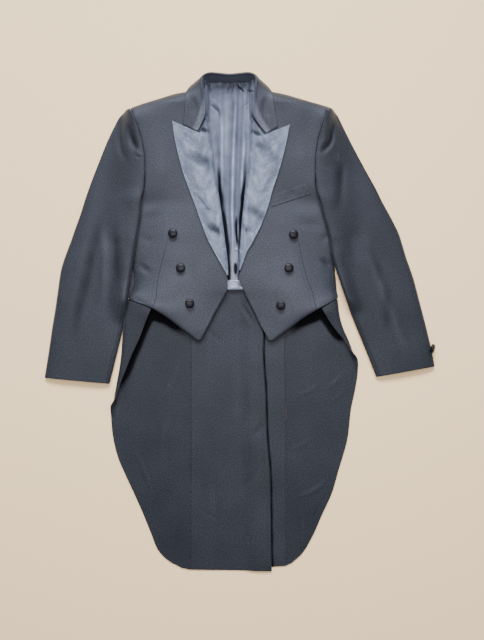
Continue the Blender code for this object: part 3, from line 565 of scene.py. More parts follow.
SKIRT_CREASES = {
    "right": [
        Crease(-0.5, 8, 8, [(-150, -180, 0), (-172, -260, 1), (-168, -350, 0)]),
        Crease(-0.6, 5, 5, [(-268, -180, 0), (-274, -216, 1), (-270, -252, 0)]),
        Crease(-0.5, 7, 7, [(-128, -60, 0), (-150, -130, 1), (-190, -190, 0)]),
        Crease(-0.5, 6, 6, [(-240, -270, 0), (-210, -330, 1), (-190, -400, 0)]),
        Crease(-0.4, 5, 5, [(-130, -420, 0), (-146, -460, 1), (-150, -510, 0)]),
    ],
    "left": [
        Crease(-0.7, 5, 6, [(226, -112, 0), (205, -135, 1), (182, -152, 0)]),
        Crease(-0.6, 4, 5, [(234, -142, 0), (214, -164, 1), (194, -180, 0)]),
        Crease(-0.8, 5, 7, [(192, -345, 0), (160, -372, 1), (120, -388, 0)]),
        Crease(-0.6, 5, 6, [(176, -132, 0), (150, -152, 1), (120, -166, 0)]),
        Crease(-0.5, 5, 5, [(160, -250, 0), (132, -272, 1), (104, -284, 0)]),
        Crease(-0.4, 7, 7, [(128, -400, 0), (138, -450, 1), (128, -510, 0)]),
    ],
}
SKIRT_RISE, SKIRT_WAVE = 0.9, 55
# Painted shade darkens the whole of each skirt, more than the tails
SKIRT_PAINTED_SHADE = 1.4 * TAIL_PAINTED_SHADE
# Under the fronts' hems and its own front edge the black cloth lies in the dark
SKIRT_SHADE = {
    "right": [
        Crease(14, 15, 15, [
            (-200, 20, 1), (-184, 12, 1), (-164, 4, 0.8), (-140, -12, 0.4), (-118, -28, 0),
        ]),
        Crease(14, 16, 16, [
            (-196, 26, 1), (-212, -8, 1), (-226, -42, 0.9), (-241, -80, 0.8), (-256, -118, 0.6),
            (-272, -156, 0),
        ]),
    ],
    "left": [
        Crease(14, 15, 15, [(180, 20, 1), (164, 12, 1), (144, 4, 0.8), (122, -10, 0.4), (104, -24, 0)]),
        Crease(14, 14, 14, [(176, 26, 1), (192, 0, 1), (208, -24, 0.8), (228, -46, 0)]),
    ],
}
# Painted shadow lines where the fronts' hems lie over the skirts
SKIRT_HEM_SHADOW_LINES = {
    "right": [[(-98, -42, 1), (-127, -20, 1), (-158, 4, 1), (-176, 16, 1), (-194, 27, 1)]],
    "left": [[(73, -43, 1), (105, -20, 1), (138, 6, 1), (156, 17, 1), (174, 28, 1)]],
}


def skirt_section(row):
    """Along the floor from the tail seam, round the fold at the side, and back to the front edge."""
    seam = Vector((row.x_seam, row.y_seam))
    fold = Vector((row.x_fold, row.y_fold))
    edge = Vector((row.x_edge, row.y_edge))
    out = 1 if row.x_fold > row.x_seam else -1
    turn = row.turn
    bend = row.bend + TAIL_WALL / 2
    length = pi * bend
    narrow = min(1, NARROW * abs(row.x_fold - row.x_seam) / (length + FREE_EDGE))
    start = fold - Vector((out * mix((length + FREE_EDGE) * narrow, bend, turn), 0))
    points = [raised(seam.lerp(start, i / SKIRT_FLOOR), 0) for i in range(SKIRT_FLOOR)]
    for k in range(SKIRT_ARC + 1):
        s = k / SKIRT_ARC
        angle = s * turn * pi
        x, z = length * narrow * s, 0
        if angle > LEAST_ARC:
            radius = length / (turn * pi)
            x, z = radius * sin(angle), radius * (1 - cos(angle))
        y = mix(0, FOLD_LEAN, s * turn) * (edge.y - fold.y)
        points.append(Vector((start.x + out * x, start.y + y, z)))
    last = points[-1]
    end = raised(edge, row.z_edge + TAIL_WALL)
    if turn < 1:
        end = last + FREE_EDGE * narrow * Vector((out * cos(turn * pi), 0, sin(turn * pi)))
        end.y = last.y
    points += [last.lerp(end, k / SKIRT_TOP) for k in range(1, SKIRT_TOP + 1)]
    # Where it isn't turned back it ends in a straight line from the seam
    for point in points:
        straight = mix(seam.y, fold.y, min(max((point.x - seam.x) / (fold.x - seam.x), 0), 1))
        point.y = mix(straight, point.y, turn)
    return points


for side, table, flat, area in (
    ("right", SKIRT_RIGHT, (0.203, 0.642), 0.09), ("left", SKIRT_LEFT, (0.168, 0.621), 0.072),
):
    points = finer([skirt_section(row) for row in table])
    ripple(points, SKIRT_RISE, SKIRT_WAVE, seed=7)
    depth_and_painted_shade = press(points, SKIRT_CREASES[side]) + SKIRT_PAINTED_SHADE
    # The shade lies only on the layer beneath, from the tail seam out to the fold
    beneath = np.arange(points.shape[1]) < np.abs(points[..., 0]).argmax(axis=1)[:, None]
    depth_and_painted_shade += shaded(points, SKIRT_SHADE[side]) * beneath
    points[..., 2] = np.maximum(points[..., 2], 0)
    piece = cloth(
        f"side_skirt_{side}", points, TAIL_WALL, wool, up=False, depth_and_painted_shade=depth_and_painted_shade,
        seam_and_shadow_lines=SKIRT_HEM_SHADOW_LINES[side],
    )
    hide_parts(f"skirt_{side}")


# The lining shows in the neck and between the lapels: thin satin, sewn in at the neck and the sides
# with more length and width than the back has, so it falls into long folds. Its hem is rolled up.

LINING_WALL = 1
LINING_FLOOR = BACK_WALL + 0.4 + LINING_WALL
LINING_ACROSS = 44
HEM_ROLL = 2.8
# The turned-up hem lies on the lining above it
HEM_DROP = 19
HEM_DEEP = 17
# The steps round its roll, its rows above that, and how much each row stands up
HEM_STEPS, HEM_ROWS, HEM_RISE = 8, 10, 0.04
# Painted highlight on the roll, as it catches the light
HEM_PAINTED_HIGHLIGHT = 1.6
Lining = namedtuple("Lining", "y x_left x_right")
LINING_ROWS = [
    Lining(524, -78, 28),
    Lining(502, -86, 34),
    Lining(470, -88, 35),
    Lining(430, -86, 36),
    Lining(380, -82, 34),
    Lining(330, -76, 31),
    Lining(280, -70, 27),
    Lining(230, -62, 22),
    Lining(180, -56, 18),
    Lining(130, -50, 15),
    Lining(92, -45, 14),
    Lining(92 - HEM_DROP, -42, 13),
]
Fold = namedtuple("Fold", "x_top x_bottom height width")
# A fold has lost this share of its height when it comes to the hem
FOLD_FADE = 0.6
LINING_FOLDS = [
    Fold(-46, -38, 3, 10),
    Fold(-12, -20, 4.5, 10),
    Fold(11, -10, 4, 9),
]
LINING_CREASES = [
    Crease(-3, 4.5, 4.5, [
        (-40.5, 458, 0), (-40.5, 430, 0.7), (-41, 330, 0.5), (-40.5, 250, 0.8), (-37, 216, 0.6),
        (-30, 160, 0.4), (-27, 120, 0),
    ]),
    Crease(-3, 4.5, 4.5, [
        (-9.2, 497, 0), (-11, 465, 0.5), (-13.1, 432, 0.8), (-17.1, 354, 1), (-18.5, 290, 0.9),
        (-19.3, 236, 1), (-17, 190, 0.7), (-17, 150, 0),
    ]),
    Crease(-3, 4.5, 4.5, [
        (9, 410, 0), (8.4, 390, 0.6), (5.7, 354, 1), (0.9, 275, 1), (-4.2, 223, 1), (-8, 180, 0.7),
        (-10.5, 130, 0),
    ]),
    Crease(-1.2, 8, 8, [(-30, 500, 0), (-30, 450, 1), (-31, 380, 0.6), (-31, 330, 0)]),
    Crease(-1.2, 7, 7, [(12, 480, 0), (14, 440, 1), (13, 402, 0)]),
    Crease(1, 6, 6, [(-26, 480, 0), (-25, 430, 0.6), (-27, 350, 1), (-29, 250, 1), (-27, 190, 0)]),
    Crease(1.2, 5, 5, [
        (-4, 470, 0), (-1, 420, 0.7), (-5, 350, 1), (-8, 290, 1), (-11, 240, 1), (-12, 190, 0),
    ]),
    Crease(2.6, 2.2, 2.2, [(-10, 523, 0), (-4, 516, 1), (3, 508, 0.8), (9, 500, 0)]),
    Crease(2.2, 2.4, 2.4, [(14, 511, 0), (21, 503, 1), (28, 494, 0)]),
    Crease(1.6, 2, 2, [(-57, 519, 0), (-52, 517, 1), (-47, 514, 0)]),
    Crease(1.2, 2, 2, [(-47, 497, 0), (-42, 491, 1), (-38, 486, 0)]),
    Crease(1, 2, 2, [(-66, 496, 0), (-62, 491, 1), (-58, 488, 0)]),
    Crease(2.4, 5, 5, [(-70, 483, 0), (-60, 474, 0.8), (-50, 462, 1), (-47, 449, 0.7), (-48, 436, 0)]),
    Crease(1, 2.5, 2.5, [(18, 481, 0), (10, 475, 1), (3, 468, 0.7), (0, 458, 0)]),
    Crease(-1.2, 3, 3, [(-30, 520, 0), (-33, 504, 1), (-31, 486, 0)]),
    Crease(-1, 3, 3, [(2, 503, 0), (8, 490, 1), (12, 474, 0)]),
    Crease(1.5, 5, 5, [(-56, 430, 0), (-52, 380, 1), (-50, 330, 0)]),
    Crease(-2.8, 2.6, 2.6, [(-14, 161, 0), (-9, 158, 1), (-4, 154, 0)]),
    Crease(-2, 2.2, 2.2, [(-8, 150, 0), (-6, 136, 0.8), (-4, 118, 1), (-8, 103, 0.8), (-12, 98, 0)]),
]
HEM_CREASES = [
    Crease(-1.2, 2.4, 2.4, [(-26, 86, 0), (-16, 89, 1), (-4, 87, 1), (4, 84, 0)]),
    Crease(1.6, 1.6, 1.6, [(-27, 77, 0), (-20, 80, 1), (-13, 78, 0)]),
    Crease(-1.4, 1.6, 1.6, [(-22, 74, 0), (-15, 75.5, 1), (-8, 73, 0)]),
    Crease(2.2, 1.5, 1.5, [(-9, 83, 0), (-4, 80, 1), (1, 79, 0.8), (4, 76, 0)]),
]
# At the sides of the neck the lining comes up to the collar's stand
NECK_RISE = 24
NECK_LEFT, NECK_RIGHT = -77, 26
NECK_REACH = 9
NECK_FROM, NECK_FULL = 432, 456
# Small pleats hang from the neck seam
PLEAT_PERIOD = 9
PLEAT_DEPTH = 0.8
PLEAT_TOP, PLEAT_END = 524, 480
# They lean one way and the other, and aren't evenly spaced
LEAN, LEAN_LENGTH = 0.4, 17
CROWDED, CROWDED_LENGTH = 2.2, 11
# Painted shade: where the lining goes under the lapels it is in their shade, and its colour is darkened
# nearly to black there; it is darkened too in a band and a hollow between them, at the neck's sides,
# over the top of the neck and along two crumples
LINING_SHADE = [
    Crease(9, 9, 6, [
        (-51, 352, 0), (-48, 322, 0.5), (-45, 283, 0.9), (-39.5, 230, 1), (-33, 186, 1), (-29, 140, 0.9),
        (-28, 96, 0.8),
    ]),
    Crease(9, 6, 8, [
        (12, 352, 0), (10, 322, 0.4), (5, 283, 0.9), (-0.5, 225, 1), (-1.5, 190, 0.6), (-2, 96, 0.5),
    ]),
    Crease(9, 3.4, 3.4, [
        (-9, 236, 0), (-10, 216, 0.8), (-9.6, 196, 1), (-8.6, 178, 1), (-7.6, 164, 0),
    ]),
    Crease(8, 5, 5, [(-11.6, 132, 0), (-11.6, 122, 1), (-11.6, 110, 1), (-11, 99, 0)]),
    Crease(9, 8, 8, [(-84, 530, 1), (-84, 490, 1), (-86, 450, 0.6), (-86, 430, 0)]),
    Crease(9, 8, 8, [(34, 530, 1), (34, 490, 1), (36, 450, 0.6), (36, 430, 0)]),
    Crease(1.3, 70, 70, [(-24, 520, 1), (-24, 470, 0.6), (-24, 430, 0)]),
    Crease(5, 2, 2, [(-9, 523, 0), (-4, 516, 1), (2, 509, 1), (7, 502, 0)]),
    Crease(4, 2, 2, [(14, 511, 0), (21, 503, 1), (28, 494, 0)]),
]


def lining_satin():
    """Filament satin: smooth threads that reflect along their length, so every fold has a bright
    line and a dark one. Painted highlight on its ridges and painted shade in its troughs add to them."""
    material, shader = new_material("mauve_lining_satin", {
        "Roughness": 0.36, "Anisotropic": 0.4, "Specular Tint": linear("d4def4"),
        "Sheen Weight": 0.15, "Sheen Roughness": 0.3,
    })
    across = add_node(material, "UVMap").outputs["UV"]
    thread = add_node(material, "TexNoise", {"Vector": across, "Scale": 700, "Detail": 2})
    cloud = add_node(material, "TexNoise", {"Vector": across, "Scale": 30, "Detail": 4})
    colour = ramp(material, cloud.outputs["Fac"], [(0.3, "50586c"), (0.7, "677189")])
    fold_shade = painted_fold_shade(material, 5, 0.05, 2.1)
    toned = add_node(material, "VectorMath", {0: colour, "Scale": fold_shade}, operation="SCALE")
    # The gloss is lowered and raised by the same painted fold shade
    gloss = add_node(material, "Math", {0: fold_shade, 1: 0.6}, operation="MULTIPLY", use_clamp=True)
    fine = add_node(material, "Bump", {
        "Height": thread.outputs["Fac"], "Strength": 0.15, "Distance": 0.2 * MM,
    })
    soft = add_node(material, "Bump", {
        "Height": cloud.outputs["Fac"], "Strength": 0.4, "Distance": 2 * MM,
        "Normal": fine.outputs["Normal"],
    })
    fill(material, shader, {
        "Base Color": toned.outputs["Vector"], "Specular IOR Level": gloss.outputs[0],
        "Normal": soft.outputs["Normal"],
    })
    return material


rows = []
for row in LINING_ROWS:
    down = (LINING_ROWS[0].y - row.y) / (LINING_ROWS[0].y - LINING_ROWS[-1].y)
    points = []
    for j in range(LINING_ACROSS + 1):
        x = mix(row.x_left, row.x_right, j / LINING_ACROSS)
        z = LINING_FLOOR
        for fold in LINING_FOLDS:
            away = (x - mix(fold.x_top, fold.x_bottom, down)) / fold.width
            z += fold.height * (1 - FOLD_FADE * ease(down)) * max(0, 1 - away * away) ** 2
        side = ease((NECK_LEFT + NECK_REACH - x) / NECK_REACH) + ease((x - NECK_RIGHT) / NECK_REACH + 1)
        z += NECK_RISE * side * ease((row.y - NECK_FROM) / (NECK_FULL - NECK_FROM))
        points.append(Vector((x, row.y, z)))
    rows.append(points)
points = finer(rows, 2)
above = points[..., 1] - PLEAT_END
lean = points[..., 0] + above * LEAN * np.sin(points[..., 0] / LEAN_LENGTH)
pleats = np.sin(lean * 2 * pi / PLEAT_PERIOD + CROWDED * np.sin(lean / CROWDED_LENGTH))
pleats *= PLEAT_DEPTH * np.clip(above / (PLEAT_TOP - PLEAT_END), 0, 1)
points[..., 2] += pleats
# The pleats are painted too: lighter on their crests and darker in their troughs
depth_and_painted_shade = press(points, LINING_CREASES) + shaded(points, LINING_SHADE) - pleats
# The hem turns up and lies on the lining
rolled = []
for k in range(1, HEM_STEPS + 1):
    turn = k / HEM_STEPS * pi
    rolled.append(points[-1] + HEM_ROLL * np.array([0, -sin(turn), 1 - cos(turn)]))
turned = rolled[-1]
for k in range(1, HEM_ROWS + 1):
    rolled.append(turned + np.array([0, k / HEM_ROWS * HEM_DEEP, HEM_RISE * k]))
rolled = np.array(rolled)
crumpled = press(rolled, HEM_CREASES)
points = np.concatenate([points, rolled])
depth_and_painted_shade = np.concatenate([depth_and_painted_shade, crumpled - HEM_PAINTED_HIGHLIGHT])
piece = cloth("back_lining", points, LINING_WALL, lining_satin(), depth_and_painted_shade=depth_and_painted_shade)
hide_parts("lining")


# The fronts are wool over canvas, so they keep a soft round shape over the chest. Each runs from the
# shoulder seam, where it rolls over, down to its waist seam and the pointed hem, and is pressed into
# a round edge at the side. A dart from the breast to the waist seam shapes it.

FRONT_WALL = 2.5
LIP = 1.2
FRONT_FLAT = 7
ROLL_STEPS = 3
SHOULDER_END = 2.5
SHOULDER_RIGHT = [(-98, 505), (-140, 499), (-209, 478), (-241, 467)]
SHOULDER_LEFT = [(50, 505), (92, 498), (165, 477), (193, 469)]
Front = namedtuple("Front", "x_in y_in z_in x_out y_out side z_out roll crown")
FRONT_RIGHT = [
    Front(-97, 484, 38, -232, 448, 34, 31, 8, 1),
    Front(-84, 459, 36, -223, 423, 33, 30, 8, 2),
    Front(-76, 430, 32, -214, 393, 31, 28, 8, 3),
    Front(-72, 401, 28, -208, 359, 29, 26, 8, 4),
    Front(-65, 367, 25, -207, 325, 27, 24, 8, 4),
    Front(-60, 324, 22, -209, 289, 22.5, 20, 8, 4),
    Front(-54, 286, 20, -219, 267, 15, 13, 8, 4),
    Front(-50, 260, 19, -249, 253, 10, 6, 10, 4),
    Front(-46, 238, 18.5, -275, 241, 9.5, 2.4, 14, 5),
    Front(-42, 204, 18, -267, 206, 10, 2.4, 14, 6),
    Front(-36, 160, 17.5, -253, 162, 10.5, 2.4, 14, 6),
    Front(-32, 121, 18, -238, 118, 11.5, 2.4, 14, 6),
    Front(-29, 91, 17.5, -235, 89, 13.5, 2.4, 13, 6),
    Front(-30, 68, 17, -240, 67, 16, 2.4, 12, 5),
    Front(-37, 56, 15.5, -246, 52, 19.5, 9, 10, 4),
    Front(-43, 45, 15, -236, 45, 22, 15, 6, 3),
    Front(-51, 31, 14.5, -216, 38, 24, 18, 5, 2),
    Front(-59, 17, 14, -195, 30, 26, 20, 4, 1),
    Front(-66, 2, 13.5, -176, 19, 23, 17, 4, 1),
    Front(-74, -12, 13, -158, 7, 20, 14, 4, 1),
    Front(-81, -26, 12, -127, -17, 15, 9.5, 4, 1),
    Front(-88, -39, 11, -98, -39, 11, 6, 4, 0),
]
FRONT_LEFT = [
    Front(50, 484, 38, 183, 449, 34, 31, 8, 1),
    Front(38, 459, 36, 176, 424, 33, 30, 8, 2),
    Front(29, 430, 32, 167, 393, 31, 28, 8, 3),
    Front(25, 401, 28, 162, 359, 29, 26, 8, 4),
    Front(22, 367, 25, 161, 325, 27, 24, 8, 4),
    Front(19, 324, 22, 163, 289, 22.5, 20, 8, 4),
    Front(13, 286, 20, 174, 269, 15, 13, 8, 4),
    Front(10, 260, 19, 204, 255, 10, 6, 10, 4),
    Front(8, 238, 18.5, 229, 241, 9.5, 2.4, 14, 5),
    Front(5, 204, 18, 225, 206, 10, 2.4, 14, 6),
    Front(2, 160, 17.5, 214, 162, 10.5, 2.4, 14, 6),
    Front(2, 125, 17, 206, 122, 11.5, 2.4, 14, 6),
    Front(-4, 93, 17.5, 209, 89, 13.5, 2.4, 13, 6),
    Front(7, 68, 17, 211, 67, 16, 2.4, 12, 5),
    Front(12, 56, 15.5, 212, 52, 19.5, 9, 10, 4),
    Front(18, 45, 15, 203, 45, 22, 15, 6, 3),
    Front(25, 31, 14.5, 190, 38, 24, 18, 5, 2),
    Front(32, 17, 14, 175, 31, 26, 20, 4, 1),
    Front(39, 2, 13.5, 156, 20, 23, 17, 4, 1),
    Front(46, -12, 13, 138, 9, 20, 14, 4, 1),
    Front(54, -26, 12, 105, -16, 15, 9.5, 4, 1),
    Front(62, -40, 11, 72, -40, 11, 6, 4, 0),
]
FRONT_CREASES = {
    "right": [
        Crease(1.6, 8, 10, [(-228, 130, 0), (-210, 117, 1), (-192, 104, 0)]),
        Crease(0.7, 4, 4, [(-135, 40, 0), (-134.5, 22, 1), (-134, 4, 0)]),
        Crease(1, 9, 9, [(-197, 31, 0.8), (-218, 42, 1), (-241, 51, 0.5)]),
        Crease(0.8, 14, 14, [(-160, 250, 0), (-190, 232, 1), (-226, 224, 0)]),
        Crease(-0.7, 22, 22, [(-170, 400, 0), (-176, 350, 1), (-184, 300, 0)]),
        Crease(0.7, 12, 12, [(-100, 150, 0), (-104, 110, 1), (-96, 60, 0)]),
        Crease(0.7, 10, 10, [(-224, 190, 0), (-206, 180, 1), (-188, 172, 0)]),
        Crease(-2.2, 70, 70, [(-140, 230, 0), (-145, 140, 1), (-135, 60, 1), (-110, -20, 1)]),
    ],
    "left": [
        Crease(3, 8, 10, [(198, 118, 0), (186, 128, 1), (174, 140, 0)]),
        Crease(0.7, 4, 4, [(113, 40, 0), (112.5, 20, 1), (112, 2, 0)]),
        Crease(1, 9, 9, [(179, 32, 0.8), (192, 39, 1), (206, 46, 0.5)]),
        Crease(0.9, 14, 14, [(116, 226, 0), (150, 214, 1), (186, 216, 0)]),
        Crease(-0.7, 20, 20, [(128, 402, 0), (130, 360, 1), (124, 322, 0)]),
        Crease(0.7, 12, 12, [(70, 168, 0), (66, 120, 1), (58, 60, 0)]),
        Crease(0.8, 9, 9, [(206, 196, 0), (186, 186, 1), (170, 170, 0)]),
        Crease(-1.6, 70, 70, [(100, 200, 0), (110, 110, 1), (100, 40, 1), (80, -30, 1)]),
    ],
}
# The chest and shoulders slope away from the room, so they are a little darker
FRONT_SHADE = {
    "right": [
        Crease(1.3, 60, 60, [(-225, 440, 1), (-110, 480, 1)]),
        Crease(0.8, 70, 70, [(-150, 380, 1), (-150, 320, 0.6), (-150, 270, 0)]),
    ],
    "left": [
        Crease(1.9, 60, 60, [(185, 440, 1), (70, 480, 1)]),
        Crease(1.2, 70, 70, [(110, 380, 1), (120, 310, 0.7), (130, 250, 0)]),
    ],
}
# Canvas makes the chest one smooth round form below the shoulder
FRONT_PASSES = 60
SHOULDER_FIRM = 470
# A front's edge keeps its shape, and the evening out sets in over this distance from it
FIRM_EDGE, FIRM_REACH = 3, 14
# How far each pass takes a height towards its neighbours' mean
EVENED = 0.8
# The rim stands at least this far below the shoulder's roll
LEAST_RIM = 0.3
# The dart under the breast
FRONT_SEAMS = {
    "right": [
        [
            (-158, 186, 0), (-160, 176, 0.7), (-164, 158, 1), (-174, 121, 1), (-181.6, 83, 1),
            (-185.3, 46, 1), (-191, 30, 1),
        ],
    ],
    "left": [
        [
            (124, 184, 0), (126, 174, 0.7), (133, 138, 1), (145.7, 90, 1), (156, 63, 1), (161, 38, 1),
            (163.5, 27, 1),
        ],
    ],
}


def from_edges(points):
    """How far each point of a grid lies from the nearer end of its row."""
    run = lengths(points, 1)
    return np.minimum(run, run[:, -1:] - run)


def soften(points, passes, hold=1):
    """Evens out a grid's heights where hold is 1, so that the cloth runs on smoothly."""
    for _ in range(passes):
        z = np.pad(points[..., 2], 1, mode="edge")
        mean = (z[:-2, 1:-1] + z[2:, 1:-1] + z[1:-1, :-2] + z[1:-1, 2:]) / 4
        points[..., 2] += EVENED * hold * (mean - points[..., 2])


def along(line, t):
    """The point at share t of a line of plan points."""
    at = t * (len(line) - 1)
    i = min(int(at), len(line) - 2)
    return Vector(line[i]).lerp(Vector(line[i + 1]), at - i)


def front_section(row):
    """One line across a front, which ends in a quarter round and a short upright lip."""
    inner = Vector((row.x_in, row.y_in))
    outer = Vector((row.x_out, row.y_out))
    width = (outer - inner).length
    roll = min(row.roll, 0.5 * width)
    points = []
    for i in range(FRONT_FLAT):
        s = i / FRONT_FLAT
        z = mix(row.z_in, row.side, ease(s)) + row.crown * 4 * s * (1 - s)
        points.append(raised(inner.lerp(outer, s * (1 - roll / width)), z))
    foot = row.z_out + min(LIP, 0.5 * (row.side - row.z_out))
    for k in range(ROLL_STEPS + 1):
        turn = k / ROLL_STEPS * pi / 2
        t = 1 - roll / width * (1 - sin(turn))
        points.append(raised(inner.lerp(outer, t), mix(foot, row.side, cos(turn))))
    return points + [raised(outer, row.z_out)]


def rolled_over(first, line, end, lip=LIP):
    """Rows that take a sheet's first row over the shoulder and down to a height."""
    last = len(first) - 1
    rows = []
    for k in range(ROLL_STEPS, 0, -1):
        turn = k / ROLL_STEPS * pi / 2
        row = []
        for j, point in enumerate(first):
            plan = point.xy.lerp(along(line, j / last), sin(turn))
            row.append(raised(plan, mix(min(end + lip, point.z), point.z, cos(turn))))
        rows.append(row)
    rim = [raised(point.xy, min(end, point.z - LEAST_RIM)) for point in rows[0]]
    return [rim] + rows


def surface(points):
    """What a later piece is laid on: the top of a fine grid, for measuring down to it."""
    rows, columns = points.shape[:2]
    return BVHTree.FromPolygons(points.reshape(-1, 3).tolist(), grid_faces(rows, columns))


front_trees = {}
for side, table, shoulder, flat in (
    ("right", FRONT_RIGHT, SHOULDER_RIGHT, (0.235, 0.63)),
    ("left", FRONT_LEFT, SHOULDER_LEFT, (0.227, 0.63)),
):
    rows = [front_section(row) for row in table]
    rows = rolled_over(rows[0], shoulder, SHOULDER_END) + rows
    points = finer(rows)
    hold = np.clip((from_edges(points) - FIRM_EDGE) / FIRM_REACH, 0, 1)
    soften(points, FRONT_PASSES, hold * (points[..., 1] < SHOULDER_FIRM))
    depth_and_painted_shade = press(points, FRONT_CREASES[side]) + shaded(points, FRONT_SHADE[side])
    front_trees[side] = surface(points)
    piece = cloth(
        f"coat_front_{side}", points, FRONT_WALL, wool, depth_and_painted_shade=depth_and_painted_shade,
        seam_and_shadow_lines=FRONT_SEAMS[side],
    )
    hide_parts(f"front_{side}")


# The sleeves are cut in two: a wide top sleeve and a narrower under sleeve, joined by two long seams
# into a tube that is flat from lying down. The head is set into the armhole over a strip of wadding,
# and the sleeve below it bends a little at the elbow.

SEAM = 0.4
SLEEVE_WALL = 1.8
SLEEVE_SEAM = 4
SLEEVE_EDGE = 11
SLEEVE_LIP = SLEEVE_WALL + SEAM
SLEEVE_STEPS = 2
HEAD_END = 3.4
DOME_POWER = 3.2
# The sleeve passes over the body this far above it, and slopes down past its edge
CLEARANCE = 1.6
CLEAR_REACH = 12
CLEAR_SLOPE = 0.6
CLEAR_STEPS = 4
# Over the body it keeps at least this share of its puff
OVER_PUFF = 0.8
# The under sleeve flattens towards the shoulder in rows that keep these shares of its shape
DISHED = (1, 0.7, 0.4)
ARMHOLE_ROWS = 6
Sleeve = namedtuple("Sleeve", "x_in y_in z_in x_out y_out x_under y_under puff over reach")
SLEEVE_RIGHT = [
    Sleeve(-232, 448, 31, -268, 444, -241, 448, 1, 0, 36),
    Sleeve(-223, 423, 30, -281, 419, -234, 423, 2, 0, 58),
    Sleeve(-214, 393, 28, -294, 391, -230, 393, 3, 0, 82),
    Sleeve(-208, 359, 26, -308, 356, -228, 359, 5, 0, 100),
    Sleeve(-207, 325, 24, -321, 323, -228, 325, 6, 0, 105),
    Sleeve(-209, 289, 22, -334, 288, -236, 304, 8, 0, 98),
    Sleeve(-215, 268, 24, -341, 268, -217, 272, 9, 1, 90),
    Sleeve(-217, 235, 21, -352, 233, -217, 235, 10, 1, 90),
    Sleeve(-222, 203, 20, -363, 203, -222, 203, 11, 1, 80),
    Sleeve(-227, 171, 18, -372, 177, -227, 171, 11, 1, 70),
    Sleeve(-233, 140, 16, -384, 145, -233, 140, 11, 1, 60),
    Sleeve(-238, 108, 14, -394, 113, -238, 108, 11, 1, 50),
    Sleeve(-244, 69, 10, -400, 74, -244, 69, 11, 1, 45),
    Sleeve(-251, 21, 6, -407, 25, -251, 21, 11, 1, 40),
    Sleeve(-261, -27, 4, -414, -18, -261, -27, 10, 0, 40),
    Sleeve(-274, -80, 4, -421, -67, -274, -80, 9, 0, 40),
    Sleeve(-288, -136, 4, -430, -123, -288, -136, 8, 0, 40),
]
SLEEVE_LEFT = [
    Sleeve(183, 449, 31, 217, 441, 192, 449, 1, 0, 36),
    Sleeve(176, 424, 30, 227, 420, 187, 424, 2, 0, 58),
    Sleeve(167, 393, 28, 241, 392, 183, 393, 3, 0, 82),
    Sleeve(162, 359, 26, 258, 360, 182, 359, 5, 0, 95),
    Sleeve(161, 325, 24, 277, 325, 182, 325, 6, 0, 100),
    Sleeve(163, 289, 22, 297, 289, 190, 304, 8, 0, 98),
    Sleeve(170, 268, 24, 308, 266, 172, 272, 9, 1, 90),
    Sleeve(177, 238, 21, 325, 235, 177, 238, 10, 1, 80),
    Sleeve(184, 213, 20, 338, 210, 184, 213, 11, 1, 75),
    Sleeve(190, 191, 18, 348, 188, 190, 191, 11, 1, 65),
    Sleeve(199, 141, 14, 363, 139, 199, 141, 11, 1, 50),
    Sleeve(214, 92, 8, 378, 96, 214, 92, 11, 1, 40),
    Sleeve(231, 43, 6, 392, 43, 231, 43, 11, 1, 40),
    Sleeve(250, -4, 4, 404, -3, 250, -4, 10, 0, 40),
    Sleeve(273, -60, 4, 416, -53, 273, -60, 9, 0, 40),
    Sleeve(297, -121, 4, 425, -98, 297, -121, 8, 0, 40),
]
HEAD_RIGHT = [(-242, 466), (-252, 462), (-263, 451)]
HEAD_LEFT = [(194, 468.5), (203, 463), (213, 450)]
SLEEVE_ACROSS = [0, 0.03, 0.09, 0.18, 0.3, 0.44, 0.58, 0.72, 0.84, 0.93, 0.98, 1]
UNDER_ACROSS = [0, 0.03, 0.09, 0.18, 0.3, 0.5, 0.8, 0.93, 0.98, 1]
SLEEVE_CREASES = {
    "right": [
        Crease(3.4, 9, 12, [
            (-242.5, 432, 0), (-238, 414, 0.8), (-234, 399, 1), (-228, 382, 1), (-223, 368, 0),
        ]),
        Crease(1.6, 7, 10, [(-262.6, 438, 0), (-261, 405, 1), (-258, 374, 1), (-245, 346, 0.3)]),
        Crease(-1, 3.5, 3.5, [(-227, 368, 0), (-218, 362, 1), (-209, 357, 0)]),
        Crease(1.2, 4, 3, [(-230, 358, 0), (-220, 355, 1), (-210, 352, 0)]),
        Crease(2, 14, 14, [
            (-306, 240, 0), (-324, 160, 1), (-341, 88, 1), (-356.5, 25, 0.9), (-370, -45, 0),
        ]),
        Crease(1.4, 11, 11, [(-273, 215, 0), (-272, 175, 1), (-271, 100, 0.8), (-270, 62, 0)]),
        Crease(-1.6, 12, 12, [(-299, 210, 0), (-297, 160, 1), (-297, 101, 1), (-302, 0, 0)]),
    ],
    "left": [
        Crease(3.2, 8, 11, [
            (203, 441, 0), (200, 425, 0.7), (197.5, 410, 1), (192, 386, 1), (182, 374, 0.9),
            (168, 363, 0),
        ]),
        Crease(-0.8, 4, 4, [(213, 372, 0), (212.6, 355, 1), (212, 336, 0)]),
        Crease(-0.6, 5, 5, [(178, 332, 0), (190, 327, 1), (202, 318, 0)]),
        Crease(2, 12, 14, [(218, 350, 0), (217, 325, 1), (216, 289, 1), (211, 238, 0)]),
        Crease(1.2, 12, 12, [(277, 172, 0), (290, 140, 1), (305, 105, 1), (321, 70, 0)]),
        Crease(1.3, 14, 14, [(319, 85, 0), (322, 45, 1), (324, 5, 1), (326, -30, 0)]),
        Crease(-1, 12, 12, [(268, 205, 0), (292, 120, 1), (352, -40, 0.8), (372, -90, 0)]),
    ],
}
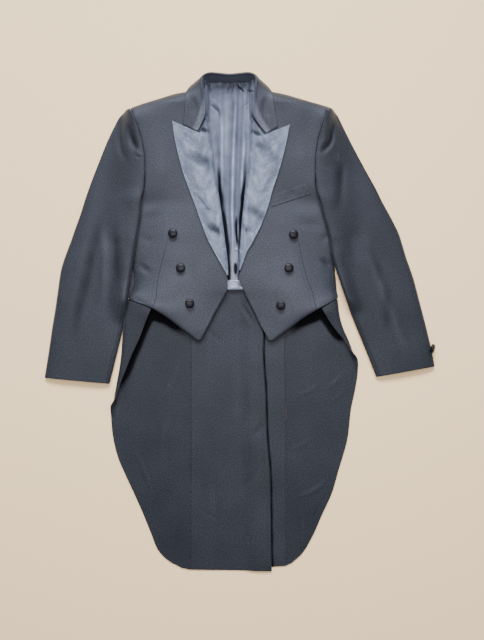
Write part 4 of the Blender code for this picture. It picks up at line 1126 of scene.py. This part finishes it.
# Dark lines along the seam near each sleeve's inner edge, and painted shade along the right sleeve's
# sharpest crease
SLEEVE_SEAM_AND_CREASE_SHADE_LINES = {
    "right": [
        [
            (-244, 84, 0), (-251, 56, 0.5), (-261, 8, 0.8), (-270, -31, 0.8), (-284, -86, 0.8),
            (-294, -132, 0.8),
        ],
        [(-259, 430, 0), (-262, 405, 0.5), (-259, 378, 0.5), (-248, 352, 0)],
    ],
    "left": [
        [(240, 40, 0), (258, -4, 0.6), (281, -60, 0.8), (303, -117, 0.8)],
    ],
}
# The cloth runs smoothly over the side of the front below the armpit, fully between these two
# heights, and fading out past them
SMOOTH_FROM, SMOOTH_TO = 225, 315
SMOOTH_PASSES = 30
SMOOTH_STEEP = 3
# Its seams stay as they are, and its creases set in over this distance from them
SEAM_FIRM, SEAM_EASE, SEAM_POWER = 4, 12, 0.7
# Painted shade darkens the whole of each sleeve too, the left one more
SLEEVE_PAINTED_SHADE = {"right": 2.1, "left": 2.8}


def refine(rows, steps):
    """A table's own rows, with others read smoothly between them."""
    kind = type(rows[0])
    fine = []
    for i in range(len(rows) - 1):
        four = rows[max(i - 1, 0)], rows[i], rows[i + 1], rows[min(i + 2, len(rows) - 1)]
        for k in range(steps):
            t = k / steps
            fine.append(kind(*(
                0.5 * (2 * b + (c - a) * t + (2 * a - 5 * b + 4 * c - d) * t * t
                       + (3 * b - a - 3 * c + d) * t ** 3)
                for a, b, c, d in zip(*four)
            )))
    return fine + [rows[-1]]


def dome(s):
    """How far a flat tube stands up at share s of its width, from 0 at its edges to 1."""
    near = 2 * min(s, 1 - s)
    return (1 - (1 - near) ** DOME_POWER) ** (1 / DOME_POWER)


def edge_round(away):
    """How far a tube's underside comes up towards a seam that is this far away."""
    near = max(0, 1 - away / SLEEVE_EDGE)
    return (SLEEVE_SEAM - SEAM / 2 - LIP) * (1 - (1 - near * near) ** 0.5)


def cleared(points, plan):
    """The height that passes over a piece's points, sloping down to the floor past its edge."""
    far = np.hypot(points[:, 0] - plan[0], points[:, 1] - plan[1]) - CLEAR_REACH
    heights = points[:, 2] + CLEARANCE - CLEAR_SLOPE * np.maximum(far, 0)
    return max(0, heights.max())


def dished(first, head):
    """The under sleeve's rows towards the shoulder, where it lies flat."""
    last = len(first) - 1
    return [
        [
            raised(point.xy.lerp(along(head, j / last), share), mix(point.z, 0, ease(share)))
            for j, point in enumerate(first)
        ]
        for share in DISHED
    ]


for side, table, head, front_table in (
    ("right", SLEEVE_RIGHT, HEAD_RIGHT, FRONT_RIGHT), ("left", SLEEVE_LEFT, HEAD_LEFT, FRONT_LEFT),
):
    armhole = [front_section(row)[-1] for row in front_table[:ARMHOLE_ROWS]]
    strip = refine(front_table[ARMHOLE_ROWS - 1:], CLEAR_STEPS)
    below = np.array([tuple(point) for row in strip for point in front_section(row)])
    outward = 1 if side == "left" else -1
    shared = (ARMHOLE_ROWS - 1) * SLEEVE_STEPS + 1
    top_rows, under_rows = [], []
    for i, row in enumerate(refine(table, SLEEVE_STEPS)):
        over = min(max(row.over, 0), 1)
        closed = over if i <= shared else 1
        outer = Vector((row.x_out, row.y_out))
        inner = Vector((row.x_in, row.y_in))
        start = row.z_in
        if i < shared:
            seam = along(armhole, i / (shared - 1))
            inner = seam.xy + Vector((outward * SEAM, 0))
            start = max(seam.z, row.z_in)
        under = Vector((row.x_under, row.y_under))
        floor = [over * cleared(below, under.lerp(outer, s)) for s in SLEEVE_ACROSS]
        if i >= shared:
            start = max(start, floor[0] + SLEEVE_SEAM)
        width = (outer - inner).length
        top = [raised(inner, start + SEAM / 2)]
        for s, base in zip(SLEEVE_ACROSS, floor):
            down = 1 - ease(s * width / row.reach)
            puff = max(row.puff * dome(s), SLEEVE_LIP)
            z = SLEEVE_SEAM + (start - SLEEVE_SEAM) * down + puff
            z = max(z, base + SLEEVE_SEAM + OVER_PUFF * puff)
            top.append(raised(inner.lerp(outer, s), z + SEAM / 2))
        top.append(raised(outer, SLEEVE_SEAM + SEAM / 2))
        top_rows.append(top)
        low = [raised(under, floor[0] + closed * (SLEEVE_SEAM - SEAM / 2))]
        for s in UNDER_ACROSS:
            plan = under.lerp(outer, s)
            rise = edge_round((1 - s) * width) + closed * edge_round(s * width)
            low.append(raised(plan, over * cleared(below, plan) + rise))
        low[1].xy = under.lerp(outer, (1 - closed) / width)
        low.append(raised(outer, SLEEVE_SEAM - SEAM / 2))
        under_rows.append(low)
    points = finer(rolled_over(top_rows[0], head, HEAD_END, SLEEVE_LIP) + top_rows)
    hold = np.clip((from_edges(points) - SEAM_FIRM) / SEAM_EASE, 0, 1) ** SEAM_POWER
    middle = (SMOOTH_FROM + SMOOTH_TO) / 2
    there = 1 - np.abs(points[..., 1] - middle) / (SMOOTH_TO - SMOOTH_FROM)
    soften(points, SMOOTH_PASSES, hold * np.clip(SMOOTH_STEEP * there, 0, 1))
    depth_and_painted_shade = press(points, SLEEVE_CREASES[side], hold) + SLEEVE_PAINTED_SHADE[side]
    piece = cloth(
        f"sleeve_top_{side}", points, SLEEVE_WALL, wool, depth_and_painted_shade=depth_and_painted_shade,
        seam_and_shadow_lines=SLEEVE_SEAM_AND_CREASE_SHADE_LINES[side],
    )
    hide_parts(f"top_sleeve_{side}")
    points = finer(dished(under_rows[0], head) + under_rows)
    # Where it comes down from the body's side it lands on the floor, not in it
    points[..., 2] = np.maximum(points[..., 2], 0)
    piece = cloth(f"sleeve_under_{side}", points, SLEEVE_WALL, wool, up=False)
    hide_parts(f"under_sleeve_{side}")


# The lapels are the fronts' own cloth, faced with satin and rolled back along a soft fold that
# isn't pressed flat. Their peaks point up and out past the collar. Corded silk satin is drawn tight
# over canvas, and dents where it was folded.

LAPEL_WALL = 2.5
LAPEL_ROLL = 8
LAPEL_DROP = 7
REST = 0.8
# A lapel's level is measured no nearer to its roll than this, past the front's own edge
TUCK = LAPEL_WALL + SEAM + REST + 0.5
LAPEL_STEPS = 16
LAPEL_ACROSS = 44
ROLL_ACROSS = 9
# Where a lapel is narrow, its roll takes this share of its width
ROLL_SHARE = 0.45
LAPEL_PASSES = 6
LAPEL_RISE, LAPEL_WAVE = 1.4, 28
# Its creases run out before the roll, which is drawn tight, over this many columns
CREASE_COLUMNS, CREASE_POWER = 8, 1.5
# A ray starts this high, above all that lies on the floor
ABOVE = 200
DOWN = Vector((0, 0, -1))
# A wall stands higher on a slope, as if the Z of its normal were never below this
STEEPEST = 0.6
# The satin stands off the front along the roll and, a little, at its outer edge
PUFF = 4.5
PUFF_REACH = 18
PUFF_WIDTH = 60
EDGE_LIFT = 1.6
EDGE_REACH = 8
Lapel = namedtuple("Lapel", "x_roll y_roll x_mid y_mid x_edge y_edge")
LAPEL_RIGHT = [
    Lapel(-72, 441.5, -88, 405.5, -147, 430),
    Lapel(-65, 396, -91, 393, -142, 396),
    Lapel(-60, 366, -88, 366, -136, 366),
    Lapel(-55, 324, -80, 324, -125, 324),
    Lapel(-49, 285, -72, 285, -111, 285),
    Lapel(-44, 253, -66, 253, -99, 253),
    Lapel(-39, 216, -58, 216, -86, 216),
    Lapel(-34, 177, -49, 177, -71, 177),
    Lapel(-29, 138, -38, 138, -50, 138),
    Lapel(-27, 109, -31, 109, -35, 111),
    Lapel(-27, 101, -28.5, 101, -30, 102),
]
LAPEL_LEFT = [
    Lapel(22.2, 438.5, 50, 401.5, 105, 422),
    Lapel(20, 391, 46, 391, 99, 391),
    Lapel(18, 364, 44, 364, 93, 364),
    Lapel(15, 324, 38, 324, 82, 324),
    Lapel(9, 285, 30, 285, 69, 285),
    Lapel(6, 253, 25, 253, 60, 253),
    Lapel(2, 216, 19, 216, 47, 216),
    Lapel(-1, 177, 10, 177, 28, 177),
    Lapel(-3, 151, 4, 151, 13, 151),
    Lapel(-3, 129, 0, 129, 5, 129),
    Lapel(-4, 112, -3, 112, -1.5, 112),
]
LAPEL_CREASES = {
    "right": [
        Crease(3, 5, 5, [(-96, 413, 0), (-78, 411, 1), (-68, 405, 0.6)]),
        Crease(-0.8, 4, 4, [(-97, 404, 0), (-84, 400, 1), (-66, 394, 0.5)]),
        Crease(1, 8, 8, [(-112, 366, 0), (-92, 359, 1), (-76, 350, 1), (-62, 340, 0)]),
        Crease(1.4, 13, 13, [(-114, 356, 0.3), (-92, 348, 1), (-62, 330, 0.6)]),
        Crease(1.2, 2.5, 2.5, [(-78, 244, 0), (-66, 241, 1), (-54, 238, 0)]),
        Crease(1, 2.5, 2.5, [(-104, 284, 0), (-86, 262, 1), (-66, 236, 0)]),
        Crease(2.2, 12, 12, [(-76, 214, 0), (-60, 202, 1), (-44, 192, 1)]),
        Crease(-1.5, 12, 12, [(-76, 300, 0), (-70, 270, 1), (-60, 220, 0)]),
        Crease(1.4, 10, 10, [(-122, 330, 0), (-104, 300, 1), (-88, 240, 0)]),
        Crease(-1.2, 6, 6, [(-118, 424, 0), (-112, 396, 1), (-104, 372, 0)]),
    ],
    "left": [
        Crease(2.2, 6, 6, [(18, 412, 0.3), (30, 404, 1), (48, 398, 0)]),
        Crease(1.4, 12, 12, [(38, 388, 0), (58, 366, 1), (78, 344, 0.5)]),
        Crease(2, 8, 8, [(22, 393, 0), (36, 380, 1), (52, 371, 0)]),
        Crease(1.5, 14, 14, [(6, 256, 0.4), (32, 238, 1), (54, 218, 0.8)]),
        Crease(3, 9, 9, [(4, 206, 0.6), (14, 198, 1), (26, 190, 0)]),
        Crease(-1.6, 12, 12, [(30, 356, 0), (34, 320, 1), (30, 275, 0)]),
        Crease(1.4, 7, 7, [(78, 330, 0), (60, 300, 1), (48, 262, 0)]),
        Crease(-1.4, 7, 7, [(8, 205, 0), (20, 190, 1), (28, 170, 0)]),
    ],
}
# Painted shade on the satin beside the collar's ends, which is in their shade, and in broad bands across
# the lapels
LAPEL_SHADE = {
    "right": [
        Crease(3, 16, 16, [(-74, 456, 1), (-79, 436, 1), (-84, 420, 0.8), (-82, 410, 0.3)]),
        Crease(3.4, 7, 7, [(-92, 413, 0), (-82, 411, 1), (-70, 410, 1), (-64, 409, 0.6)]),
        Crease(1.5, 17, 17, [(-116, 368, 0.3), (-92, 355, 1), (-58, 338, 0.9)]),
        Crease(1.5, 14, 14, [(-76, 212, 0.4), (-60, 203, 1), (-44, 196, 1)]),
        Crease(0.8, 8, 8, [(-80, 246, 0.3), (-64, 241, 1), (-50, 236, 1)]),
    ],
    "left": [
        Crease(2, 16, 16, [(22, 452, 1), (28, 432, 1), (36, 416, 0.6)]),
        Crease(3.2, 8, 8, [(18, 412, 1), (30, 407, 1), (42, 404, 0.6), (52, 403, 0)]),
        Crease(1, 14, 14, [(40, 396, 0.4), (60, 374, 1), (82, 350, 0.5)]),
        Crease(1.2, 14, 14, [(8, 246, 0.6), (30, 237, 1), (48, 226, 0.4)]),
        Crease(1.3, 9, 9, [(4, 208, 0.6), (14, 198, 1), (26, 188, 0.3)]),
    ],
}


def facing_satin():
    """Silk satin: long floats over a fine weave, so it mirrors the window softly, and looks grey
    where it faces the light and nearly black where it turns away. Painted shade darkens its colour
    and gloss in its dents, and painted highlight lightens them on its ridges."""
    material, shader = new_material("facing_satin", {
        "Roughness": 0.42, "Anisotropic": 0.3, "Specular Tint": linear("cfdaf2"),
        "Sheen Weight": 0.2, "Sheen Roughness": 0.35, "Sheen Tint": linear("c0cce6"),
    })
    across = add_node(material, "UVMap").outputs["UV"]
    thread = add_node(material, "TexNoise", {
        "Vector": across, "Scale": 460, "Detail": 3, "Roughness": 0.7,
    })
    cloud = add_node(material, "TexNoise", {
        "Vector": across, "Scale": 38, "Detail": 6, "Roughness": 0.62,
    })
    part = add_node(material, "Math", {0: thread.outputs["Fac"], 1: 0.7}, operation="MULTIPLY")
    tone = add_node(material, "Math", {0: part.outputs[0], 1: cloud.outputs["Fac"]}, operation="ADD")
    colour = ramp(material, tone.outputs[0], [(0.62, "414c60"), (0.85, "5d697f"), (1, "7b88a0")])
    fold_shade = painted_fold_shade(material, 4, 0.2, 1.3)
    toned = add_node(material, "VectorMath", {0: colour, "Scale": fold_shade}, operation="SCALE")
    gloss = add_node(material, "Math", {0: fold_shade, 1: 0.5}, operation="MULTIPLY")
    fine = add_node(material, "Bump", {
        "Height": thread.outputs["Fac"], "Strength": 0.2, "Distance": 0.2 * MM,
    })
    soft = add_node(material, "Bump", {
        "Height": cloud.outputs["Fac"], "Strength": 0.35, "Distance": 1.5 * MM,
        "Normal": fine.outputs["Normal"],
    })
    fill(material, shader, {
        "Base Color": toned.outputs["Vector"], "Specular IOR Level": gloss.outputs[0],
        "Normal": soft.outputs["Normal"],
    })
    return material


satin = facing_satin()


def laid_on(tree, plan, wall, otherwise=None):
    """The height of the outer side of a wall that rests on a surface."""
    hit, normal, _, _ = tree.ray_cast(raised(plan, ABOVE), DOWN)
    return otherwise if hit is None else hit.z + (REST + wall) / max(abs(normal.z), STEEPEST)


def lapel_section(row, tree, before):
    """One line across a lapel, up and round the roll and out to its edge, and its level there. Past
    the end of the front's edge the level before is kept."""
    fold = Vector((row.x_roll, row.y_roll))
    corner = Vector((row.x_mid, row.y_mid))
    edge = Vector((row.x_edge, row.y_edge))
    first = (corner - fold).length
    whole = first + (edge - corner).length
    roll = min(LAPEL_ROLL, ROLL_SHARE * whole)

    def place(away):
        if away < first:
            return fold.lerp(corner, away / first)
        return corner.lerp(edge, (away - first) / max(whole - first, 1))

    def level_at(away):
        while away < whole:
            level = laid_on(tree, place(away), LAPEL_WALL)
            if level is not None:
                return level
            away += 1
        return laid_on(tree, edge, LAPEL_WALL, before)

    level = level_at(TUCK)
    aways = [roll * (1 - cos(k / ROLL_ACROSS * pi / 2)) for k in range(ROLL_ACROSS)]
    aways += [mix(roll, whole, i / LAPEL_ACROSS) for i in range(LAPEL_ACROSS + 1)]
    points = [raised(fold, level - LAPEL_DROP)]
    for away in aways:
        base = level_at(max(away, TUCK))
        turned = max(0, 1 - away / roll)
        lift = PUFF * (1 - np.exp(-(whole / PUFF_WIDTH) ** 2)) * np.exp(-(away / PUFF_REACH) ** 2)
        lift += EDGE_LIFT * np.exp(-((whole - away) / EDGE_REACH) ** 2)
        drop = (LAPEL_DROP - LIP + lift) * (1 - (1 - turned ** 2) ** 0.5)
        points.append(raised(place(away), base + lift - drop))
    return points, level


for side, table in (("right", LAPEL_RIGHT), ("left", LAPEL_LEFT)):
    level = 0
    rows = []
    for row in refine(table, LAPEL_STEPS):
        row, level = lapel_section(row, front_trees[side], level)
        rows.append([tuple(point) for point in row])
    points = np.array(rows)
    # The roll keeps its shape, and the rest runs smoothly over what is under it
    hold = np.zeros(points.shape[:2])
    hold[:, ROLL_ACROSS:-2] = 1
    soften(points, LAPEL_PASSES, hold)
    ripple(points, LAPEL_RISE, LAPEL_WAVE, seed=3)
    column = np.arange(points.shape[1]) - ROLL_ACROSS + 1
    hold = np.clip(column / CREASE_COLUMNS, 0, 1) ** CREASE_POWER
    depth_and_painted_shade = press(points, LAPEL_CREASES[side], hold) + shaded(points, LAPEL_SHADE[side])
    piece = cloth(f"satin_lapel_{side}", points, LAPEL_WALL, satin, depth_and_painted_shade=depth_and_painted_shade)
    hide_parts(f"lapel_{side}")


# The collar is wool over stiff canvas: a stand that goes up from the neck seam, a soft bend along its
# top, and a fall that lies back on the fronts to the notches, where the gorge seams join it to the
# lapels.

COLLAR_WALL = 2.5
COLLAR_STEPS = 2
Collar = namedtuple("Collar", "x_edge y_edge z_edge x_top y_top z_top bend x_neck y_neck z_neck")
COLLAR_ROWS = [
    Collar(-124, 424, 34, -93.3, 410.5, 35, 2, -91.4, 410, 32),
    Collar(-122, 437, 35, -84, 428, 38, 2.5, -81.4, 427.5, 33),
    Collar(-121, 453, 37, -77, 449, 42, 3.5, -73.3, 449, 33),
    Collar(-119, 480, 40, -79.5, 478, 45, 4, -76.5, 484, 18),
    Collar(-115, 501, 30, -82.5, 504, 46, 4, -78.5, 508, 10),
    Collar(-98, 525, 8, -81.5, 523.5, 43, 4, -76.5, 520, 6),
    Collar(-68, 537.5, 1, -66, 534, 35, 4, -62, 524, 3.6),
    Collar(-24, 535.5, 1, -24, 532.5, 30, 4, -24, 523, 3.6),
    Collar(18, 537.5, 1, 17, 534, 35, 4, 14, 524, 3.6),
    Collar(47, 525, 8, 32.5, 523.5, 43, 4, 27.5, 520, 6),
    Collar(64, 501, 30, 31.5, 504, 46, 4, 27.5, 508, 10),
    Collar(70, 480, 40, 29.5, 478, 45, 4, 25.5, 484, 18),
    Collar(74, 450, 37, 27, 447, 42, 3.5, 23, 447, 32),
    Collar(78, 433, 35, 40.5, 423, 38, 2.5, 38, 422.5, 33),
    Collar(80, 420, 34, 55.5, 406, 35, 2, 53.6, 405.5, 32),
]
# The fall's columns, and how its height comes down across them
FALL_ACROSS = (0, 0.25, 0.5, 0.75)
FALL_POWER = 0.8
# The bend's steps. Its outer half clears the fronts by the cloth's thickness, and the rest by less.
BEND_STEPS, BEND_OUTER = 4, 3
BEND_CLEAR = 0.5
# Shares of the bend: how far out and down the fall meets it, and how far in its inner half comes
BEND_OUT, BEND_DOWN, BEND_IN = 0.7, 0.3, 0.55
# The stand's inner side, past this share of the way round, faces away from the window, and painted light
# makes it paler
STAND_PAINTED_LIGHT = 18
STAND_FROM, STAND_BLEND = 0.55, 0.1
COLLAR_CREASES = [
    Crease(1.2, 8, 8, [(-112, 486, 0), (-100, 470, 1), (-96, 446, 0)]),
    Crease(-1, 7, 7, [(-104, 452, 0), (-100, 432, 1), (-102, 418, 0)]),
    Crease(1.2, 8, 8, [(62, 488, 0), (52, 470, 1), (50, 442, 0)]),
    Crease(-1, 7, 7, [(58, 446, 0), (60, 430, 1), (62, 416, 0)]),
]


def over_fronts(plan, wall, z):
    """A height, raised to where a wall rests on the fronts if they are in its way."""
    return max(z, *(laid_on(tree, plan, wall, z) for tree in front_trees.values()))


rows = []
for row in refine(COLLAR_ROWS, COLLAR_STEPS):
    edge = Vector((row.x_edge, row.y_edge))
    top = Vector((row.x_top, row.y_top))
    neck = Vector((row.x_neck, row.y_neck))
    outward = (edge - top).normalized()
    inward = (neck - top).normalized()
    points = []
    for s in FALL_ACROSS:
        plan = edge.lerp(top + outward * row.bend * BEND_OUT, s)
        z = mix(row.z_edge, row.z_top - row.bend * BEND_DOWN, s ** FALL_POWER)
        points.append(raised(plan, over_fronts(plan, COLLAR_WALL, z)))
    for k in range(BEND_STEPS + 1):
        turn = mix(pi / 4, pi, k / BEND_STEPS)
        toward = outward if turn < pi / 2 else BEND_IN * inward
        plan = top + toward * row.bend * abs(cos(turn))
        z = row.z_top - row.bend * (1 - sin(turn))
        wall = COLLAR_WALL if k < BEND_OUTER else BEND_CLEAR
        points.append(raised(plan, over_fronts(plan, wall, z)))
    last = points[-1]
    for s in (0.5, 1):
        point = last.lerp(raised(neck, row.z_neck), s)
        points.append(raised(point.xy, over_fronts(point.xy, 0, point.z)))
    rows.append(points)
points = finer(rows, 2)
depth_and_painted_shade = press(points, COLLAR_CREASES)
run = lengths(points, 1)
depth_and_painted_shade -= STAND_PAINTED_LIGHT * np.clip((run / run[:, -1:] - STAND_FROM) / STAND_BLEND, 0, 1)
# A dark line of painted shade runs along the fall's outer edge, where it lies on the fronts
piece = cloth(
    "coat_collar", points, COLLAR_WALL, wool, depth_and_painted_shade=depth_and_painted_shade,
    seam_and_shadow_lines=[[(row.x_edge, row.y_edge, 0.7) for row in COLLAR_ROWS]],
)
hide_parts("collar")


# The breast welt: a straight strip of the front's wool, doubled and sewn on along its lower edge and
# its ends, over the mouth of a pocket.

WELT_WALL = 1.2
WELT = [(66, 248), (152, 276), (143, 299), (70, 273)]
WELT_ALONG, WELT_UP = 32, 12
# It is sewn down along its lower edge, so it thickens from there to its mouth
WELT_LOW, WELT_HIGH = 0.5, 1
WELT_CREASES = [
    Crease(1.6, 7, 7, [(94, 292, 0), (103, 283, 1), (118, 272, 0)]),
    Crease(-0.5, 2.5, 2.5, [(67, 251, 1), (110, 265, 1), (151, 278.5, 1)]),
]

low_in, low_out, high_out, high_in = (Vector(corner) for corner in WELT)
rows = []
for t in np.linspace(0, 1, WELT_UP):
    row = []
    for s in np.linspace(0, 1, WELT_ALONG):
        plan = low_in.lerp(low_out, s).lerp(high_in.lerp(high_out, s), t)
        base = laid_on(front_trees["left"], plan, 0)
        row.append(raised(plan, base - REST + mix(WELT_LOW, WELT_HIGH, ease(2 * t))))
    rows.append(row)
points = finer(rows)
depth_and_painted_shade = press(points, WELT_CREASES)
piece = cloth("pocket_welt", points, WELT_WALL, wool, depth_and_painted_shade=depth_and_painted_shade)
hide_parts("breast_welt")


# The buttons: a domed mould with a disc of dark corded silk drawn over it and gathered behind, on a
# short shank of thread. Three a side are sewn on the fronts, and don't fasten anything.

BUTTON = 20
BUTTON_HEIGHT = 5.6
DOME_FOOT = 2
# From the dome's rim round the gathered silk to the shank's foot: share of the radius, and height
BUTTON_BACK = ((0.97, 1.4), (0.9, 1.1), (0.45, 0.9), (0.4, 0))
BUTTONS = {
    "right": [(-147, 191), (-130, 116), (-111, 39)],
    "left": [(114, 189), (104, 116), (87, 35)],
}


def corded_silk():
    """Close corded silk over a mould: dark, with a small soft highlight on the dome."""
    material, shader = new_material("black_corded_silk", {
        "Roughness": 0.38, "Specular IOR Level": 0.35, "Specular Tint": linear("d0d8ec"),
    })
    place = add_node(material, "TexCoord").outputs["Object"]
    cord = add_node(material, "TexWave", {
        "Vector": place, "Scale": WAVE / (2 * 0.9 * MM), "Distortion": 0.6, "Detail": 1,
    }, bands_direction="X")
    wear = add_node(material, "TexNoise", {"Vector": place, "Scale": 120, "Detail": 3})
    colour = ramp(material, wear.outputs["Fac"], [(0.35, "07080b"), (0.65, "0f1117")])
    bump = add_node(material, "Bump", {
        "Height": cord.outputs["Fac"], "Strength": 0.3, "Distance": 0.2 * MM,
    })
    fill(material, shader, {"Base Color": colour, "Normal": bump.outputs["Normal"]})
    return material


silk = corded_silk()


def sew_button(name, foot, facing):
    """Turns a covered button on its place: the dome, its gathered back and its shank."""
    half = BUTTON / 2
    bpy.ops.object.select_all(action="DESELECT")
    bpy.ops.mesh.primitive_uv_sphere_add(segments=40, ring_count=24, radius=half)
    piece = bpy.context.object
    piece.name = piece.data.name = name
    bpy.ops.object.mode_set(mode="EDIT")
    bpy.ops.mesh.select_all(action="SELECT")
    bpy.ops.mesh.bisect(plane_co=(0, 0, 0), plane_no=(0, 0, 1), clear_inner=True)
    bpy.ops.mesh.select_all(action="SELECT")
    bpy.ops.transform.resize(value=(1, 1, (BUTTON_HEIGHT - DOME_FOOT) / half))
    bpy.ops.transform.translate(value=(0, 0, DOME_FOOT))
    bpy.ops.mesh.select_all(action="DESELECT")
    bpy.ops.mesh.select_mode(type="EDGE")
    bpy.ops.mesh.select_non_manifold()
    for reach, height in BUTTON_BACK:
        bpy.ops.mesh.extrude_edges_move()
        bpy.ops.object.mode_set(mode="OBJECT")
        for vertex in (v for v in piece.data.vertices if v.select):
            vertex.co.xy = vertex.co.xy.normalized() * half * reach
            vertex.co.z = height
        bpy.ops.object.mode_set(mode="EDIT")
    bpy.ops.mesh.edge_face_add()
    bpy.ops.mesh.select_all(action="SELECT")
    bpy.ops.mesh.normals_make_consistent(inside=False)
    bpy.ops.object.mode_set(mode="OBJECT")
    turn = facing.to_track_quat("Z", "Y").to_matrix().to_4x4()
    piece.data.transform(Matrix.Scale(MM, 4) @ Matrix.Translation(foot + PLACE) @ turn)
    piece.data.materials.append(silk)
    piece.data.shade_smooth()
    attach(piece, "root")
    return piece


for side, places in BUTTONS.items():
    for number, place in enumerate(places, 1):
        hit, normal, _, _ = front_trees[side].ray_cast(raised(place, ABOVE), DOWN)
        facing = normal if normal.z > 0 else -normal
        name = f"button_{side}_{number}"
        piece = sew_button("covered_" + name, hit + facing * REST, facing)
        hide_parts(name)


# The left sleeve's button is sewn at its back seam, near the cuff, so here it looks outwards over the
# floor.

CUFF_BUTTON_PLACE = (415, -58, 11.5)
CUFF_BUTTON_FACING = (1, -0.2, 0.5)

piece = sew_button("covered_cuff_button", Vector(CUFF_BUTTON_PLACE), Vector(CUFF_BUTTON_FACING))
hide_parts("cuff_button_left")


# The floor: plain and pale. It isn't part of the coat.

FLOOR = 6
FLOOR_GAP = 0.3 * MM

bpy.ops.object.select_all(action="DESELECT")
bpy.ops.mesh.primitive_grid_add(
    x_subdivisions=4, y_subdivisions=4, size=FLOOR, location=(0, 0, -FLOOR_GAP),
)
floor = bpy.context.object
floor.name = "floor"
material, shader = new_material("pale_floor", {"Base Color": linear("f6dcb0"), "Roughness": 0.7})
floor.data.materials.append(material)


# Light and camera: a wide window past the collar, a pale room, and a camera straight above.

CAMERA_HEIGHT = 1.5
CAMERA_PLACE = Vector((2.64, 3.52, 0)) + PLACE
# The photograph's long side covers this much floor
VIEW = 1.408
SENSOR = 36

key = bpy.data.lights.new("window", "AREA")
key.shape = "RECTANGLE"
key.size, key.size_y = 3.4, 2.2
key.energy = 770
key.color = (1, 0.98, 0.95)
window = bpy.data.objects.new("window", key)
window.location = (-0.3, 4.8, 3.9)
window.rotation_euler = (Vector((0, 0.1, 0)) - window.location).to_track_quat("-Z", "Y").to_euler()
bpy.context.scene.collection.objects.link(window)

# The room's ceiling throws a warmer light on the middle of the coat
glow = bpy.data.lights.new("ceiling", "AREA")
glow.size = 0.7
glow.energy = 24
glow.color = (1, 0.86, 0.73)
ceiling = bpy.data.objects.new("ceiling", glow)
ceiling.location = (0, 0.14, 1.8)
bpy.context.scene.collection.objects.link(ceiling)

world = bpy.data.worlds.new("room")
bpy.context.scene.world = world
world.use_nodes = True
background = world.node_tree.nodes["Background"]
background.inputs["Color"].default_value = linear("dfe3ea")
background.inputs["Strength"].default_value = 0.45

lens = bpy.data.cameras.new("camera")
lens.sensor_width = SENSOR
lens.lens = SENSOR / VIEW * CAMERA_HEIGHT
camera = bpy.data.objects.new("camera", lens)
camera.location = (CAMERA_PLACE.x * MM, CAMERA_PLACE.y * MM, CAMERA_HEIGHT)
bpy.context.scene.collection.objects.link(camera)
bpy.context.scene.camera = camera
